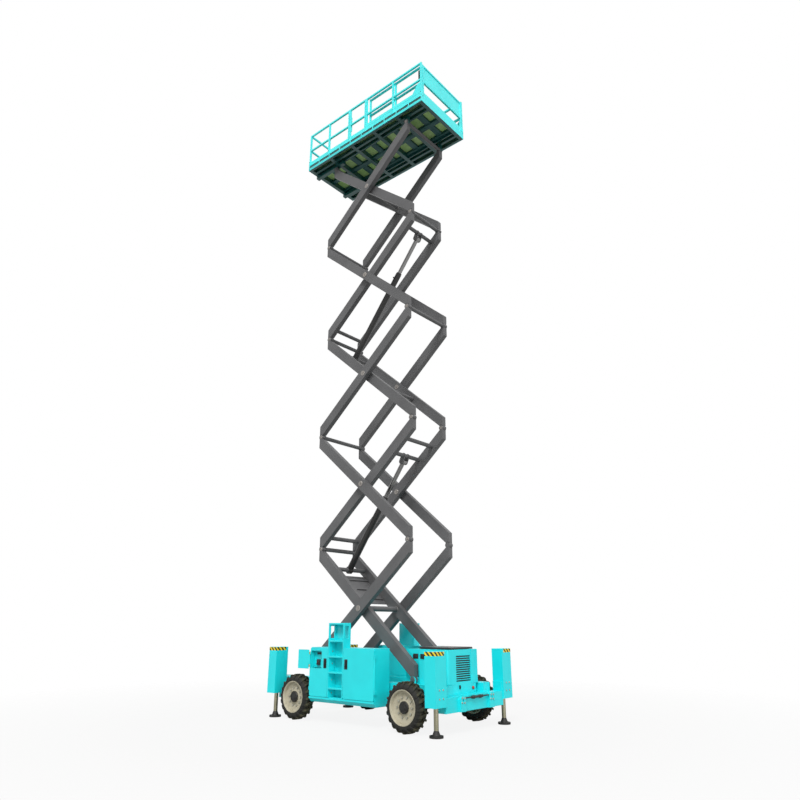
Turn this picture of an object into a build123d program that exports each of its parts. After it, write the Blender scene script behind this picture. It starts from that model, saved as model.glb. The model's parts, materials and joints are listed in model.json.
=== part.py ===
from build123d import *
from math import asin, atan2, cos, degrees, hypot, pi, radians, sin, sqrt
import os

# A self-propelled rough-terrain scissor lift, raised on its jacks.
# +X is the front, -Y the right-hand side with the ground controls, +Z up.
# The origin is on the ground below the middle of the machine. Millimetres.

# Clearances
pin_play = 0.3
move_gap = 6
cheek_gap = 5
slide_play = 0.3

# Hinges of doors, flap, lid and gate
hinge_rod_radius = 6
hinge_eye = 10
hinge_lug_height = 60
hinge_inset = 130

# Scissor stack
stage_count = 5
pin_half_span = 1707
raised_pin_angle = 44.39
front_pin_x = 1255
base_pin_z = 772
arm_height = 200
arm_width = 110
stack_gap = 15
inner_arm_face = 547
outer_arm_face = 673
arm_end_overhang = 40
boss_radius = 55
hinge_pin_radius = 25
hinge_cheek = 22
centre_pin_radius = 45
cross_tube_radius = 42
centre_tube_radius = 50
heel_tube_inset = 230
lower_tube_below = 600
upper_tube_inset = 430
roller_radius = 59.7
roller_width = 50

# Lift cylinders
cylinder_foot = 500
lower_rod_reach = 2450
upper_rod_reach = 3000
barrel_radius = 65
barrel_length = 1700
upper_barrel_length = 2200
rod_radius = 45
rod_grip = 200
barrel_eye_radius = 75
barrel_eye_width = 80
rod_eye_radius = 58
rod_eye_width = 96
rod_plate = 20
rod_plate_rim = 12
rod_tube_ahead = 115
rod_tube_above = 50

# Chassis
rail_inner = 450
rail_outer = 650
rail_bottom = 520
rail_rear = -2235
cross_member_width = 120
cross_member_height = 130
cross_member_places = (-900, -300, 300, 900)
clevis_half_width = 60
pod_bracket_inset = 200

# Wheels and axles
front_wheel_x = 1496
rear_wheel_x = -1196
tyre_radius = 395
tyre_width = 270
tyre_outer_y = 1128
rim_radius = 212
bead_inset = 30
bead_height = 60
shoulder_height = 70
shoulder_width = 60
rim_wall = 20
dish_edge = 62
dish_depth = 37
hub_inset = 55
hub_cap = 25
spindle_radius = 40
hub_radius = 95
kingpin_y = 745
kingpin_radius = 22
kingpin_barrel = 46
knuckle_half_height = 95
axle_radius = 62
axle_ear = 32

# Jacks
jack_front_x = 2100
jack_rear_x = -1800
jack_y = 1000
jack_box_length = 220
jack_box_width = 290
jack_box_bottom = 430
jack_box_top = 1260
jack_rod_radius = 38.5
jack_rod_in_box = 400
jack_cap = 20
jack_foot_radius = 112
jack_foot_height = 34
jack_bell_height = 70
bell_share = 0.6

# Cross beams
beam_bottom = 330
beam_top = 560
beam_depth = 180
beam_plate = 40
ear_radius = 75
ear_y = 430
ear_z = 500
ear_thickness = 45
ear_bore_radius = 22

# Side pods
pod_rear = -765
pod_front = 850
pod_inner = 690
pod_outer = 1100
pod_bottom = 343
pod_top = 1276
pod_wall = 30
pod_chamfer = 60
door_thickness = 25
door_bottom = 440
door_corner = 30
ladder_rear = -290
ladder_front = 105
ladder_depth = 150
ladder_cheek = 25
step_heights = (606, 869, 1137)
step_thickness = 30
upstand_front = 306
upstand_top = 1704
upstand_thickness = 40
hand_hole_length = 130
hand_hole_width = 45
hand_hole_shares = (0.3, 0.72)
niche_rear = -740
niche_front = -460
niche_bottom = 915
niche_top = 1215
niche_depth = 90
flap_thickness = 12
flap_corner = 15
flap_lug_height = 40
flap_margin = 16

# Hood over the engine
hood_rear = 1000
hood_front = 1950
hood_half_width = 410
hood_floor = 40
hood_top = 1265
hood_wall = 20
hood_corner = 60
lid_rear = 1240
lid_front = 1930
lid_half_width = 345
lid_thickness = 30
lid_hinge_y = 230
grille_half_width = 215
grille_bottom = 740
grille_top = 1165
grille_frame = 25
slat_count = 12
slat_thickness = 12
engine_length = 600
engine_width = 460
engine_height = 510

# Platform
platform_rear = -1917
platform_front = 1839
platform_half_width = 815
deck_drop = 145
deck_channel_height = 150
deck_channel_width = 60
deck_plate_thickness = 12
deck_beam_width = 90
deck_beam_count = 6
track_past = 250
rail_height = 1132
mid_rail_height = 640
toe_height = 130
toe_thickness = 12
rail_tube = 40
gate_rear = -470
gate_front = 96
gate_hinge_drop = 200
extension_rear = 170
extension_plate = 25
extension_inset = 55
control_depth = 170
control_width = 300
control_height = 220
control_side = 60


# Worked-out sizes of the scissor stack
pin_offset = (arm_height + stack_gap) / 2
pin_reach = sqrt(pin_half_span**2 - pin_offset**2)
tube_angle = raised_pin_angle - degrees(asin(pin_offset / pin_half_span))
stage_rise = 2 * pin_half_span * sin(radians(raised_pin_angle))
stage_span = 2 * pin_half_span * cos(radians(raised_pin_angle))
rear_pin_x = front_pin_x - stage_span
top_pin_z = base_pin_z + stage_count * stage_rise
track_top = base_pin_z - roller_radius - pin_play
deck_bottom = top_pin_z + deck_drop
deck_top = deck_bottom + deck_channel_height
slope_cos = cos(radians(tube_angle))
slope_sin = sin(radians(tube_angle))
notch_radius = boss_radius + move_gap
hood_bottom = rail_bottom + hood_floor
door_top = pod_top - move_gap
door_mid = pod_outer - door_thickness / 2
door_skin = pod_outer - door_thickness - move_gap
door_hinges = (door_bottom + hinge_inset, door_top - hinge_inset)
lug_half_width = arm_width / 2 - hinge_cheek - cheek_gap

os.makedirs("parts", exist_ok=True)


def save(piece, name):
    """Label a finished piece and write it as one STEP file."""
    piece.label = name
    export_step(piece, f"parts/{name}.step")


def block(x, y, z, mode=Mode.ADD):
    """Add a box between the given low and high values along each axis."""
    with Locations(((x[0] + x[1]) / 2, (y[0] + y[1]) / 2, (z[0] + z[1]) / 2)):
        Box(abs(x[1] - x[0]), abs(y[1] - y[0]), abs(z[1] - z[0]), mode=mode)


def hinge_lug(box, start, end):
    """Add a lug, with the bore for a hinge rod that runs through it from one point to another."""
    block(*box)
    bar(start, end, hinge_rod_radius + pin_play, mode=Mode.SUBTRACT)


def bar(start, end, radius, mode=Mode.ADD):
    """Add a round bar from one point to another."""
    run = Vector(*end) - Vector(*start)
    with Locations(Plane(origin=start, z_dir=run)):
        Cylinder(radius, run.length, align=(Align.CENTER, Align.CENTER, Align.MIN), mode=mode)


# Scissor arms
def arm_centre(stage):
    return (front_pin_x - stage_span / 2, base_pin_z + (stage - 0.5) * stage_rise)


def arm_plane(stage, lead, y):
    """Plane of one arm's side: x runs along the tube to its upper end, y across it."""
    centre_x, centre_z = arm_centre(stage)
    return Plane(origin=(centre_x, y, centre_z), x_dir=(lead * slope_cos, 0, slope_sin), z_dir=(0, -lead, 0))


def arm_point(stage, lead, along, across):
    """A place on an arm as x and z, from its distances along and across the tube."""
    centre_x, centre_z = arm_centre(stage)
    x = centre_x + lead * (along * slope_cos - across * slope_sin)
    return (x, centre_z + along * slope_sin + across * slope_cos)


def arm_outline():
    """Corners of the tube's side, its ends cut upright for the raised lift."""
    half = arm_height / 2
    long_end = pin_reach + (arm_end_overhang + (half - pin_offset) * slope_sin) / slope_cos
    short_end = pin_reach + (arm_end_overhang - (half + pin_offset) * slope_sin) / slope_cos
    return [(short_end, -half), (long_end, half), (-short_end, half), (-long_end, -half)]


def build_arm(stage, lead, outer, cross_tubes, rod_along=None, upper_roller=False, lower_roller=False):
    """One scissor frame: two box tubes with a fork at the top end, a lug at the bottom, and cross tubes."""
    face = outer_arm_face if outer else inner_arm_face
    inner_side = face - arm_width
    upper_pin = (pin_reach, pin_offset)
    lower_pin = (-pin_reach, -pin_offset)
    top_x, top_z = arm_point(stage, lead, *upper_pin)
    foot_x, foot_z = arm_point(stage, lead, *lower_pin)
    centre_x, centre_z = arm_centre(stage)
    with BuildPart() as arm:
        for side in (-1, 1):
            plane = arm_plane(stage, lead, side * (face - arm_width / 2))
            with BuildSketch(plane):
                with BuildLine():
                    Polyline(*arm_outline(), close=True)
                make_face()
                with Locations(upper_pin, lower_pin):
                    Circle(notch_radius, mode=Mode.SUBTRACT)
            extrude(amount=arm_width / 2, both=True)
            cheek_mid = (arm_width - hinge_cheek) / 2
            with BuildSketch(plane.offset(cheek_mid), plane.offset(-cheek_mid)):
                with BuildLine():
                    Polyline(*arm_outline(), close=True)
                make_face()
                with Locations(upper_pin):
                    Circle(notch_radius + move_gap, mode=Mode.INTERSECT)
                    Circle(boss_radius)
            extrude(amount=hinge_cheek / 2, both=True)
            with BuildSketch(plane):
                with BuildLine():
                    Polyline(*arm_outline(), close=True)
                make_face()
                with Locations(lower_pin):
                    Circle(notch_radius + move_gap, mode=Mode.INTERSECT)
                    Circle(boss_radius)
            extrude(amount=lug_half_width, both=True)
            bar((top_x, side * inner_side, top_z), (top_x, side * face, top_z), hinge_pin_radius)
            if outer:
                bar(
                    (centre_x, side * (inner_side - move_gap), centre_z),
                    (centre_x, side * (face + move_gap), centre_z),
                    centre_pin_radius + pin_play,
                    mode=Mode.SUBTRACT,
                )
            else:
                bar(
                    (centre_x, side * (face - arm_width / 2), centre_z),
                    (centre_x, side * outer_arm_face, centre_z),
                    centre_pin_radius,
                )
            if upper_roller:
                mid = side * (face - arm_width / 2)
                half = lug_half_width
                bar((top_x, mid - half, top_z), (top_x, mid + half, top_z), roller_radius)
            if not lower_roller:
                bar(
                    (foot_x, side * inner_side, foot_z),
                    (foot_x, side * face, foot_z),
                    hinge_pin_radius + pin_play,
                    mode=Mode.SUBTRACT,
                )
        for along, across, radius in cross_tubes:
            x, z = arm_point(stage, lead, along, across)
            bar((x, -inner_side - 1, z), (x, inner_side + 1, z), radius)
        if lower_roller:
            reach = face - arm_width / 2
            bar((foot_x, -reach, foot_z), (foot_x, reach, foot_z), cross_tube_radius)
            for side in (-1, 1):
                near = inner_side - cheek_gap
                bar((foot_x, side * (near - roller_width), foot_z), (foot_x, side * near, foot_z), roller_radius)
        if rod_along:
            plate_y = rod_eye_width / 2 + cheek_gap + rod_plate / 2
            with BuildSketch(arm_plane(stage, lead, plate_y), arm_plane(stage, lead, -plate_y)):
                with Locations((rod_along + rod_tube_ahead, rod_tube_above)):
                    Circle(cross_tube_radius + rod_plate_rim)
                with Locations((rod_along, 0)):
                    Circle(rod_eye_radius)
                make_hull()
            extrude(amount=rod_plate / 2, both=True)
    save(arm.part, f"arm_{stage}{'a' if lead > 0 else 'b'}")


foot_along = pin_reach - cylinder_foot
lower_rod_along = lower_rod_reach - pin_reach
upper_rod_along = upper_rod_reach - pin_reach
top_tube = (pin_reach, pin_offset, cross_tube_radius)
foot_tube = (foot_along, 0, cross_tube_radius)
heel_tube = (heel_tube_inset - pin_reach, 0, cross_tube_radius)
lower_tube = (-lower_tube_below, 0, cross_tube_radius)
upper_reach_tube = (pin_reach - upper_tube_inset, 0, cross_tube_radius)
centre_tube = (0, 0, centre_tube_radius)


def rod_tube(rod_along):
    return (rod_along + rod_tube_ahead, rod_tube_above, cross_tube_radius)


build_arm(1, 1, True, [], lower_roller=True)
build_arm(1, -1, False, [top_tube, foot_tube, centre_tube])
build_arm(2, 1, False, [heel_tube, rod_tube(lower_rod_along), upper_reach_tube], rod_along=lower_rod_along)
build_arm(2, -1, True, [top_tube])
build_arm(3, 1, True, [top_tube])
build_arm(3, -1, False, [top_tube, foot_tube, lower_tube])
build_arm(4, 1, False, [heel_tube, rod_tube(upper_rod_along), top_tube], rod_along=upper_rod_along)
build_arm(4, -1, True, [top_tube])
build_arm(5, 1, True, [top_tube])
build_arm(5, -1, False, [top_tube, centre_tube], upper_roller=True)


# Lift cylinders
def build_cylinder(stage, rod_along, length, name):
    """A barrel hung on one arm's cross tube, and its rod towards the arm of the next stage."""
    foot_x, foot_z = arm_point(stage, -1, foot_along, 0)
    eye_x, eye_z = arm_point(stage + 1, 1, rod_along, 0)
    run = Vector(eye_x - foot_x, 0, eye_z - foot_z)
    way = run.normalized()
    foot = Vector(foot_x, 0, foot_z)
    across = Vector(0, 1, 0)
    rod_inner = length - rod_grip
    closed = closed_length(rod_along)
    bore_bottom = closed - (run.length - rod_inner) - 4 * move_gap
    with BuildPart() as barrel:
        bar(foot - across * (barrel_eye_width / 2), foot + across * (barrel_eye_width / 2), barrel_eye_radius)
        bar(foot + way * (barrel_eye_radius / 2), foot + way * length, barrel_radius)
        bar(foot + way * bore_bottom, foot + way * (length + move_gap), rod_radius + pin_play, mode=Mode.SUBTRACT)
        bar(foot - across * barrel_eye_width, foot + across * barrel_eye_width, cross_tube_radius + pin_play,
            mode=Mode.SUBTRACT)
    save(barrel.part, f"{name}_barrel")
    eye = Vector(eye_x, 0, eye_z)
    with BuildPart() as rod:
        bar(foot + way * rod_inner, eye, rod_radius)
        bar(eye - across * (rod_eye_width / 2), eye + across * (rod_eye_width / 2), rod_eye_radius)
    save(rod.part, f"{name}_rod")


def closed_length(rod_along):
    """Length from foot to eye with the two arms folded flat together."""
    return hypot(rod_along + pin_reach - cylinder_foot, 2 * pin_offset)


build_cylinder(1, lower_rod_along, barrel_length, "lower_cylinder")
build_cylinder(3, upper_rod_along, upper_barrel_length, "upper_cylinder")


# Chassis frame: two box rails, cross members, the front pivots and the seats for axles and pods
def build_chassis():
    with BuildPart() as frame:
        for side in (-1, 1):
            block((rail_rear, jack_front_x - beam_depth / 2), (side * rail_inner, side * rail_outer),
                  (rail_bottom, track_top))
            pivot_y = side * (inner_arm_face - arm_width / 2)
            cheek_mid = (arm_width - hinge_cheek) / 2
            with BuildSketch(
                Plane((front_pin_x, pivot_y + cheek_mid, base_pin_z), x_dir=(1, 0, 0), z_dir=(0, -1, 0)),
                Plane((front_pin_x, pivot_y - cheek_mid, base_pin_z), x_dir=(1, 0, 0), z_dir=(0, -1, 0)),
            ):
                Circle(boss_radius)
                with Locations((0, (track_top - base_pin_z) / 2)):
                    Rectangle(2 * clevis_half_width, base_pin_z - track_top)
            extrude(amount=hinge_cheek / 2, both=True)
            bar((front_pin_x, pivot_y - arm_width / 2, base_pin_z),
                (front_pin_x, pivot_y + arm_width / 2, base_pin_z), hinge_pin_radius)
            for x in (front_wheel_x, rear_wheel_x):
                block((x - axle_radius, x + axle_radius), (side * rail_inner, side * rail_outer),
                      (tyre_radius + axle_radius, rail_bottom))
            for x in (pod_rear + pod_bracket_inset, pod_front - pod_bracket_inset):
                block((x - cross_member_width / 2, x + cross_member_width / 2),
                      (side * rail_outer, side * pod_inner),
                      (rail_bottom, rail_bottom + cross_member_height))
        block((hood_rear, jack_front_x - beam_depth / 2), (-rail_inner, rail_inner), (rail_bottom, hood_bottom))
        for x in cross_member_places:
            block((x - cross_member_width / 2, x + cross_member_width / 2), (-rail_inner, rail_inner),
                  (rail_bottom, rail_bottom + cross_member_height))
    save(frame.part, "chassis_frame")


# Axles, knuckles and wheels
def build_front_axle():
    with BuildPart() as axle:
        ear_low = tyre_radius - knuckle_half_height - cheek_gap
        ear_high = tyre_radius + knuckle_half_height + cheek_gap
        yoke_y = kingpin_y - kingpin_barrel - move_gap
        block((front_wheel_x - axle_radius, front_wheel_x + axle_radius), (-yoke_y, yoke_y),
              (tyre_radius - axle_radius, tyre_radius + axle_radius))
        for side in (-1, 1):
            block((front_wheel_x - axle_radius, front_wheel_x + axle_radius),
                  (side * (yoke_y - axle_ear), side * yoke_y), (ear_low - axle_ear, ear_high + axle_ear))
            for low in (ear_low - axle_ear, ear_high):
                block((front_wheel_x - kingpin_barrel, front_wheel_x + kingpin_barrel),
                      (side * (yoke_y - axle_ear), side * kingpin_y), (low, low + axle_ear))
                bar((front_wheel_x, side * kingpin_y, low), (front_wheel_x, side * kingpin_y, low + axle_ear),
                    kingpin_barrel)
            bar((front_wheel_x, side * kingpin_y, ear_low - axle_ear),
                (front_wheel_x, side * kingpin_y, ear_high + axle_ear), kingpin_radius)
    save(axle.part, "front_axle")


def build_rear_axle():
    with BuildPart() as axle:
        reach = tyre_outer_y - tyre_width + hub_inset
        block((rear_wheel_x - axle_radius, rear_wheel_x + axle_radius), (-rail_outer, rail_outer),
              (tyre_radius - axle_radius, tyre_radius + axle_radius))
        bar((rear_wheel_x, -reach, tyre_radius), (rear_wheel_x, reach, tyre_radius), axle_radius)
        end = tyre_outer_y - hub_inset
        bar((rear_wheel_x, -end, tyre_radius), (rear_wheel_x, end, tyre_radius), spindle_radius)
    save(axle.part, "rear_axle")


def build_knuckle(side, name):
    with BuildPart() as knuckle:
        low = tyre_radius - knuckle_half_height
        high = tyre_radius + knuckle_half_height
        bar((front_wheel_x, side * kingpin_y, low), (front_wheel_x, side * kingpin_y, high), kingpin_barrel)
        reach = tyre_outer_y - tyre_width + hub_inset
        bar((front_wheel_x, side * kingpin_y, tyre_radius), (front_wheel_x, side * reach, tyre_radius), axle_radius)
        end = tyre_outer_y - hub_inset
        bar((front_wheel_x, side * kingpin_y, tyre_radius), (front_wheel_x, side * end, tyre_radius),
            spindle_radius)
        bar((front_wheel_x, side * kingpin_y, low - 1), (front_wheel_x, side * kingpin_y, high + 1),
            kingpin_radius + pin_play, mode=Mode.SUBTRACT)
    save(knuckle.part, name)


def build_wheel(x, side, place):
    """A tyre and its dished rim, turned about the spindle's axis."""
    mid_y = side * (tyre_outer_y - tyre_width / 2)
    section = Plane((x, mid_y, tyre_radius), x_dir=(0, 0, 1), z_dir=(1, 0, 0))
    spin = Axis((x, mid_y, tyre_radius), (0, 1, 0))
    half = tyre_width / 2
    seat = half - bead_inset
    wall = tyre_radius - shoulder_height
    carcass = [(rim_radius, -seat), (rim_radius + bead_height, -half), (wall, -half),
               (tyre_radius, -half + shoulder_width), (tyre_radius, half - shoulder_width),
               (wall, half), (rim_radius + bead_height, half), (rim_radius, seat)]
    with BuildPart() as tyre:
        with BuildSketch(section):
            with BuildLine():
                Polyline(*carcass, close=True)
            make_face()
        revolve(axis=spin)
    save(tyre.part, f"tyre_{place}")
    bore = spindle_radius + pin_play
    well = rim_radius - rim_wall
    hub_back = hub_inset + cheek_gap - half
    hub_front = half - hub_inset + cheek_gap
    dish = [(bore, hub_back), (hub_radius, hub_back), (hub_radius, dish_depth - rim_wall),
            (well, dish_edge - rim_wall), (well, -seat), (rim_radius, -seat), (rim_radius, seat), (well, seat),
            (well - rim_wall, dish_edge), (hub_radius, dish_depth), (hub_radius, hub_front), (0, hub_front + hub_cap),
            (0, hub_front), (bore, hub_front)]
    with BuildPart() as rim:
        with BuildSketch(section):
            with BuildLine():
                Polyline(*[(radius, -side * out) for radius, out in dish], close=True)
            make_face()
        revolve(axis=spin)
    save(rim.part, f"rim_{place}")


build_chassis()
build_front_axle()
build_rear_axle()
for side, hand in ((-1, "right"), (1, "left")):
    build_knuckle(side, f"knuckle_{hand}")
    build_wheel(front_wheel_x, side, f"front_{hand}")
    build_wheel(rear_wheel_x, side, f"rear_{hand}")


# Cross beams between the jack boxes
with BuildPart() as front_beam:
    inner = jack_y - jack_box_width / 2
    near = jack_front_x - beam_depth / 2
    far = jack_front_x + beam_depth / 2
    block((near, far), (-inner, inner), (beam_bottom, beam_top))
    for side in (-1, 1):
        block((near, near + beam_plate), (side * rail_inner, side * rail_outer), (beam_top, track_top))
        block((near, far), (side * (inner - beam_plate), side * inner), (beam_bottom, jack_box_bottom + beam_top / 2))
        with BuildSketch(Plane.YZ.offset(far)):
            with Locations((side * ear_y, ear_z)):
                Circle(ear_radius)
            with Locations((side * ear_y, (beam_bottom + ear_z) / 2)):
                Rectangle(2 * ear_radius, ear_z - beam_bottom)
            with Locations((side * ear_y, ear_z)):
                Circle(ear_bore_radius, mode=Mode.SUBTRACT)
        extrude(amount=ear_thickness)
save(front_beam.part, "front_crossbeam")

with BuildPart() as rear_beam:
    inner = jack_y - jack_box_width / 2
    for side in (-1, 1):
        block((jack_rear_x - beam_depth / 2, jack_rear_x + beam_depth / 2), (side * rail_outer, side * inner),
              (jack_box_bottom, track_top))
    block((jack_rear_x - beam_depth / 2, jack_rear_x + beam_depth / 2), (-rail_inner, rail_inner),
          (jack_box_bottom, rail_bottom))
    block((jack_rear_x - beam_depth / 2, jack_rear_x + beam_depth / 2), (-inner, inner),
          (beam_bottom, rail_bottom))
save(rear_beam.part, "rear_crossbeam")


# Jacks: a box at each corner with a leg that slides down out of it
jack_places = [
    ("front_right", jack_front_x, -jack_y),
    ("front_left", jack_front_x, jack_y),
    ("rear_right", jack_rear_x, -jack_y),
    ("rear_left", jack_rear_x, jack_y),
]

with BuildPart() as jack_boxes:
    for place, x, y in jack_places:
        block((x - jack_box_length / 2, x + jack_box_length / 2), (y - jack_box_width / 2, y + jack_box_width / 2),
              (jack_box_bottom, jack_box_top))
        bar((x, y, jack_box_bottom - 1), (x, y, jack_box_top - jack_cap), jack_rod_radius + pin_play,
            mode=Mode.SUBTRACT)
save(jack_boxes.part, "jack_boxes")

for place, x, y in jack_places:
    with BuildPart() as leg:
        bar((x, y, 0), (x, y, jack_foot_height), jack_foot_radius)
        with Locations((x, y, jack_foot_height)):
            Cone(jack_foot_radius * bell_share, jack_rod_radius, jack_bell_height,
                 align=(Align.CENTER, Align.CENTER, Align.MIN))
        bar((x, y, jack_foot_height), (x, y, jack_box_bottom + jack_rod_in_box), jack_rod_radius)
    save(leg.part, f"jack_leg_{place}")


# Side pods: a cabinet with two open bays, and a ladder between them
def build_pod(side, name, with_controls):
    ladder_back = door_skin - ladder_depth
    with BuildPart() as pod:
        with BuildSketch(Plane.YZ.offset(pod_rear)):
            with BuildLine():
                Polyline((side * pod_inner, pod_bottom), (side * (pod_outer - pod_chamfer), pod_bottom),
                         (side * pod_outer, pod_bottom + pod_chamfer), (side * pod_outer, door_bottom - move_gap),
                         (side * door_skin, door_bottom - move_gap), (side * door_skin, pod_top),
                         (side * pod_inner, pod_top), close=True)
            make_face()
        extrude(amount=pod_front - pod_rear)
        for bay in ((pod_rear + pod_wall, ladder_rear - pod_wall), (ladder_front + pod_wall, pod_front - pod_wall)):
            block(bay, (side * (pod_inner + pod_wall), side * pod_outer), (door_bottom, pod_top - pod_wall),
                  mode=Mode.SUBTRACT)
        block((ladder_rear, ladder_front), (side * ladder_back, side * (pod_outer + 1)),
              (door_bottom, pod_top + 1), mode=Mode.SUBTRACT)
        for end, way in ((pod_rear, -1), (pod_front, 1)):
            axis_x = end + way * hinge_eye
            for z in door_hinges:
                low = z - hinge_lug_height / 2
                hinge_lug(
                    ((end, end + way * 2 * hinge_eye), (side * (door_skin - pod_wall), side * (door_mid + hinge_eye)),
                     (low, low + hinge_lug_height)),
                    (axis_x, side * door_mid, low - 1), (axis_x, side * door_mid, low + hinge_lug_height + 1))
        if with_controls:
            block((niche_rear + move_gap, niche_front - move_gap),
                  (side * (pod_inner + pod_wall), side * (pod_outer - niche_depth)),
                  (niche_bottom + move_gap, niche_top - move_gap))
    save(pod.part, name)


def build_ladder(side, name):
    """Steps between two cheeks, under an upstand with hand holes."""
    ladder_back = door_skin - ladder_depth
    with BuildPart() as ladder:
        for x in (ladder_rear, ladder_front - ladder_cheek):
            block((x, x + ladder_cheek), (side * ladder_back, side * pod_outer), (door_bottom, pod_top))
        for top in step_heights:
            block((ladder_rear, ladder_front), (side * ladder_back, side * pod_outer), (top - step_thickness, top))
        block((ladder_rear, upstand_front), (side * ladder_back, side * pod_outer),
              (pod_top, pod_top + step_thickness))
        with BuildSketch(Plane.XZ.offset(-side * (pod_outer - upstand_thickness / 2))):
            middle = (ladder_rear + upstand_front) / 2
            with Locations((middle, (pod_top + upstand_top) / 2)):
                RectangleRounded(upstand_front - ladder_rear, upstand_top - pod_top, door_corner)
            for share in hand_hole_shares:
                with Locations((middle, pod_top + share * (upstand_top - pod_top))):
                    SlotOverall(hand_hole_length, hand_hole_width, mode=Mode.SUBTRACT)
        extrude(amount=upstand_thickness / 2, both=True)
    save(ladder.part, name)


def build_door(side, name, hinge_end, way, free_end, window=False):
    """A door panel with its hinge rod beyond one end, and a window for the ground controls."""
    edge = hinge_end - way * move_gap
    axis_x = hinge_end + way * hinge_eye
    low, high = (z for z in door_hinges)
    clear = hinge_lug_height / 2 + move_gap
    with BuildPart() as door:
        with BuildSketch(Plane.XZ.offset(-side * door_mid)):
            with Locations(((edge + free_end) / 2, (door_bottom + door_top) / 2)):
                RectangleRounded(abs(edge - free_end), door_top - door_bottom, door_corner)
            if window:
                with Locations(((niche_rear + niche_front) / 2, (niche_bottom + niche_top) / 2)):
                    RectangleRounded(niche_front - niche_rear, niche_top - niche_bottom, door_corner / 2,
                                     mode=Mode.SUBTRACT)
        extrude(amount=door_thickness / 2, both=True)
        bar((axis_x, side * door_mid, low - clear), (axis_x, side * door_mid, high + clear), hinge_rod_radius)
        block((axis_x, edge), (side * (door_mid - hinge_rod_radius), side * (door_mid + hinge_rod_radius)),
              (low + clear, high - clear))
        if window:
            for z in flap_hinges:
                hinge_lug(
                    ((flap_hinge_x - hinge_eye, flap_hinge_x + 2 * hinge_eye), (flap_hinge_y - hinge_eye, -pod_outer),
                     (z - flap_lug_height / 2, z + flap_lug_height / 2)),
                    (flap_hinge_x, flap_hinge_y, z - flap_lug_height), (flap_hinge_x, flap_hinge_y, z + flap_lug_height))
    save(door.part, name)


rear_door_free = ladder_rear - move_gap
front_door_free = ladder_front + move_gap
flap_hinge_x = pod_rear + move_gap
flap_hinge_y = -(pod_outer + hinge_eye + cheek_gap)
flap_hinges = (niche_bottom + flap_lug_height, niche_top - flap_lug_height)
for side, hand in ((-1, "right"), (1, "left")):
    build_pod(side, f"side_pod_{hand}", with_controls=side < 0)
    build_ladder(side, f"ladder_{hand}")
    build_door(side, f"rear_door_{hand}", pod_rear, -1, rear_door_free, window=side < 0)
    build_door(side, f"front_door_{hand}", pod_front, 1, front_door_free)

# Flap over the ground controls, folded right back on its hinge
flap_edge = flap_hinge_x - 2 * hinge_eye - move_gap
flap_width = niche_front + flap_margin - 2 * flap_hinge_x + flap_edge
flap_clear = flap_lug_height / 2 + cheek_gap
with BuildPart() as flap:
    with BuildSketch(Plane.XZ.offset(-flap_hinge_y)):
        with Locations((flap_edge - flap_width / 2, (niche_bottom + niche_top) / 2)):
            RectangleRounded(flap_width, niche_top - niche_bottom + 2 * flap_margin, flap_corner)
    extrude(amount=flap_thickness / 2, both=True)
    low, high = (z for z in flap_hinges)
    bar((flap_hinge_x, flap_hinge_y, low - flap_clear), (flap_hinge_x, flap_hinge_y, high + flap_clear),
        hinge_rod_radius)
    block((flap_edge - flap_corner, flap_hinge_x), (flap_hinge_y - flap_thickness / 2, flap_hinge_y + flap_thickness / 2),
          (low + flap_clear, high - flap_clear))
save(flap.part, "control_flap")


# Hood, its lid and the engine
lid_hinge_x = lid_rear - hinge_eye - move_gap
lid_hinge_z = hood_top + move_gap + lid_thickness / 2
with BuildPart() as hood:
    with BuildSketch(Plane.XY.offset(hood_bottom)):
        with Locations(((hood_rear + hood_front) / 2, 0)):
            Rectangle(hood_front - hood_rear, 2 * hood_half_width)
    extrude(amount=hood_top - hood_bottom)
    fillet(hood.edges().filter_by(Axis.Z).group_by(Axis.X)[-1], hood_corner)
    block((hood_rear + hood_wall, hood_front - hood_wall), (hood_wall - hood_half_width, hood_half_width - hood_wall),
          (hood_bottom - 1, hood_top - hood_wall), mode=Mode.SUBTRACT)
    block((lid_rear + move_gap, lid_front - hood_corner), (move_gap - lid_half_width, lid_half_width - move_gap),
          (hood_top - 2 * hood_wall, hood_top + 1), mode=Mode.SUBTRACT)
    block((hood_front - hood_wall - 1, hood_front + 1), (-grille_half_width, grille_half_width),
          (grille_bottom, grille_top), mode=Mode.SUBTRACT)
    for side in (-1, 1):
        y = side * lid_hinge_y
        hinge_lug(
            ((lid_hinge_x - hinge_eye, lid_hinge_x + hinge_eye), (y - hinge_lug_height / 2, y + hinge_lug_height / 2),
             (hood_top - hood_wall, lid_hinge_z + hinge_eye)),
            (lid_hinge_x, y - hinge_lug_height, lid_hinge_z), (lid_hinge_x, y + hinge_lug_height, lid_hinge_z))
    pitch = (grille_top - grille_bottom) / slat_count
    for row in range(slat_count):
        low = grille_bottom + row * pitch
        block((hood_front - hood_wall, hood_front), (-grille_half_width, grille_half_width),
              (low, low + slat_thickness))
save(hood.part, "hood")

with BuildPart() as lid:
    block((lid_rear, lid_front), (-lid_half_width, lid_half_width),
          (hood_top + move_gap, hood_top + move_gap + lid_thickness))
    fillet(lid.edges().filter_by(Axis.Z), lid_thickness)
    chamfer(lid.faces().sort_by(Axis.Z)[-1].edges(), lid_thickness / 3)
    reach = lid_hinge_y + hinge_lug_height
    bar((lid_hinge_x, -reach, lid_hinge_z), (lid_hinge_x, reach, lid_hinge_z), hinge_rod_radius)
    tab = lid_hinge_y - hinge_lug_height / 2 - move_gap
    block((lid_hinge_x, lid_rear + lid_thickness), (-tab, tab),
          (lid_hinge_z - hinge_rod_radius, lid_hinge_z + hinge_rod_radius))
save(lid.part, "hood_lid")

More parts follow.
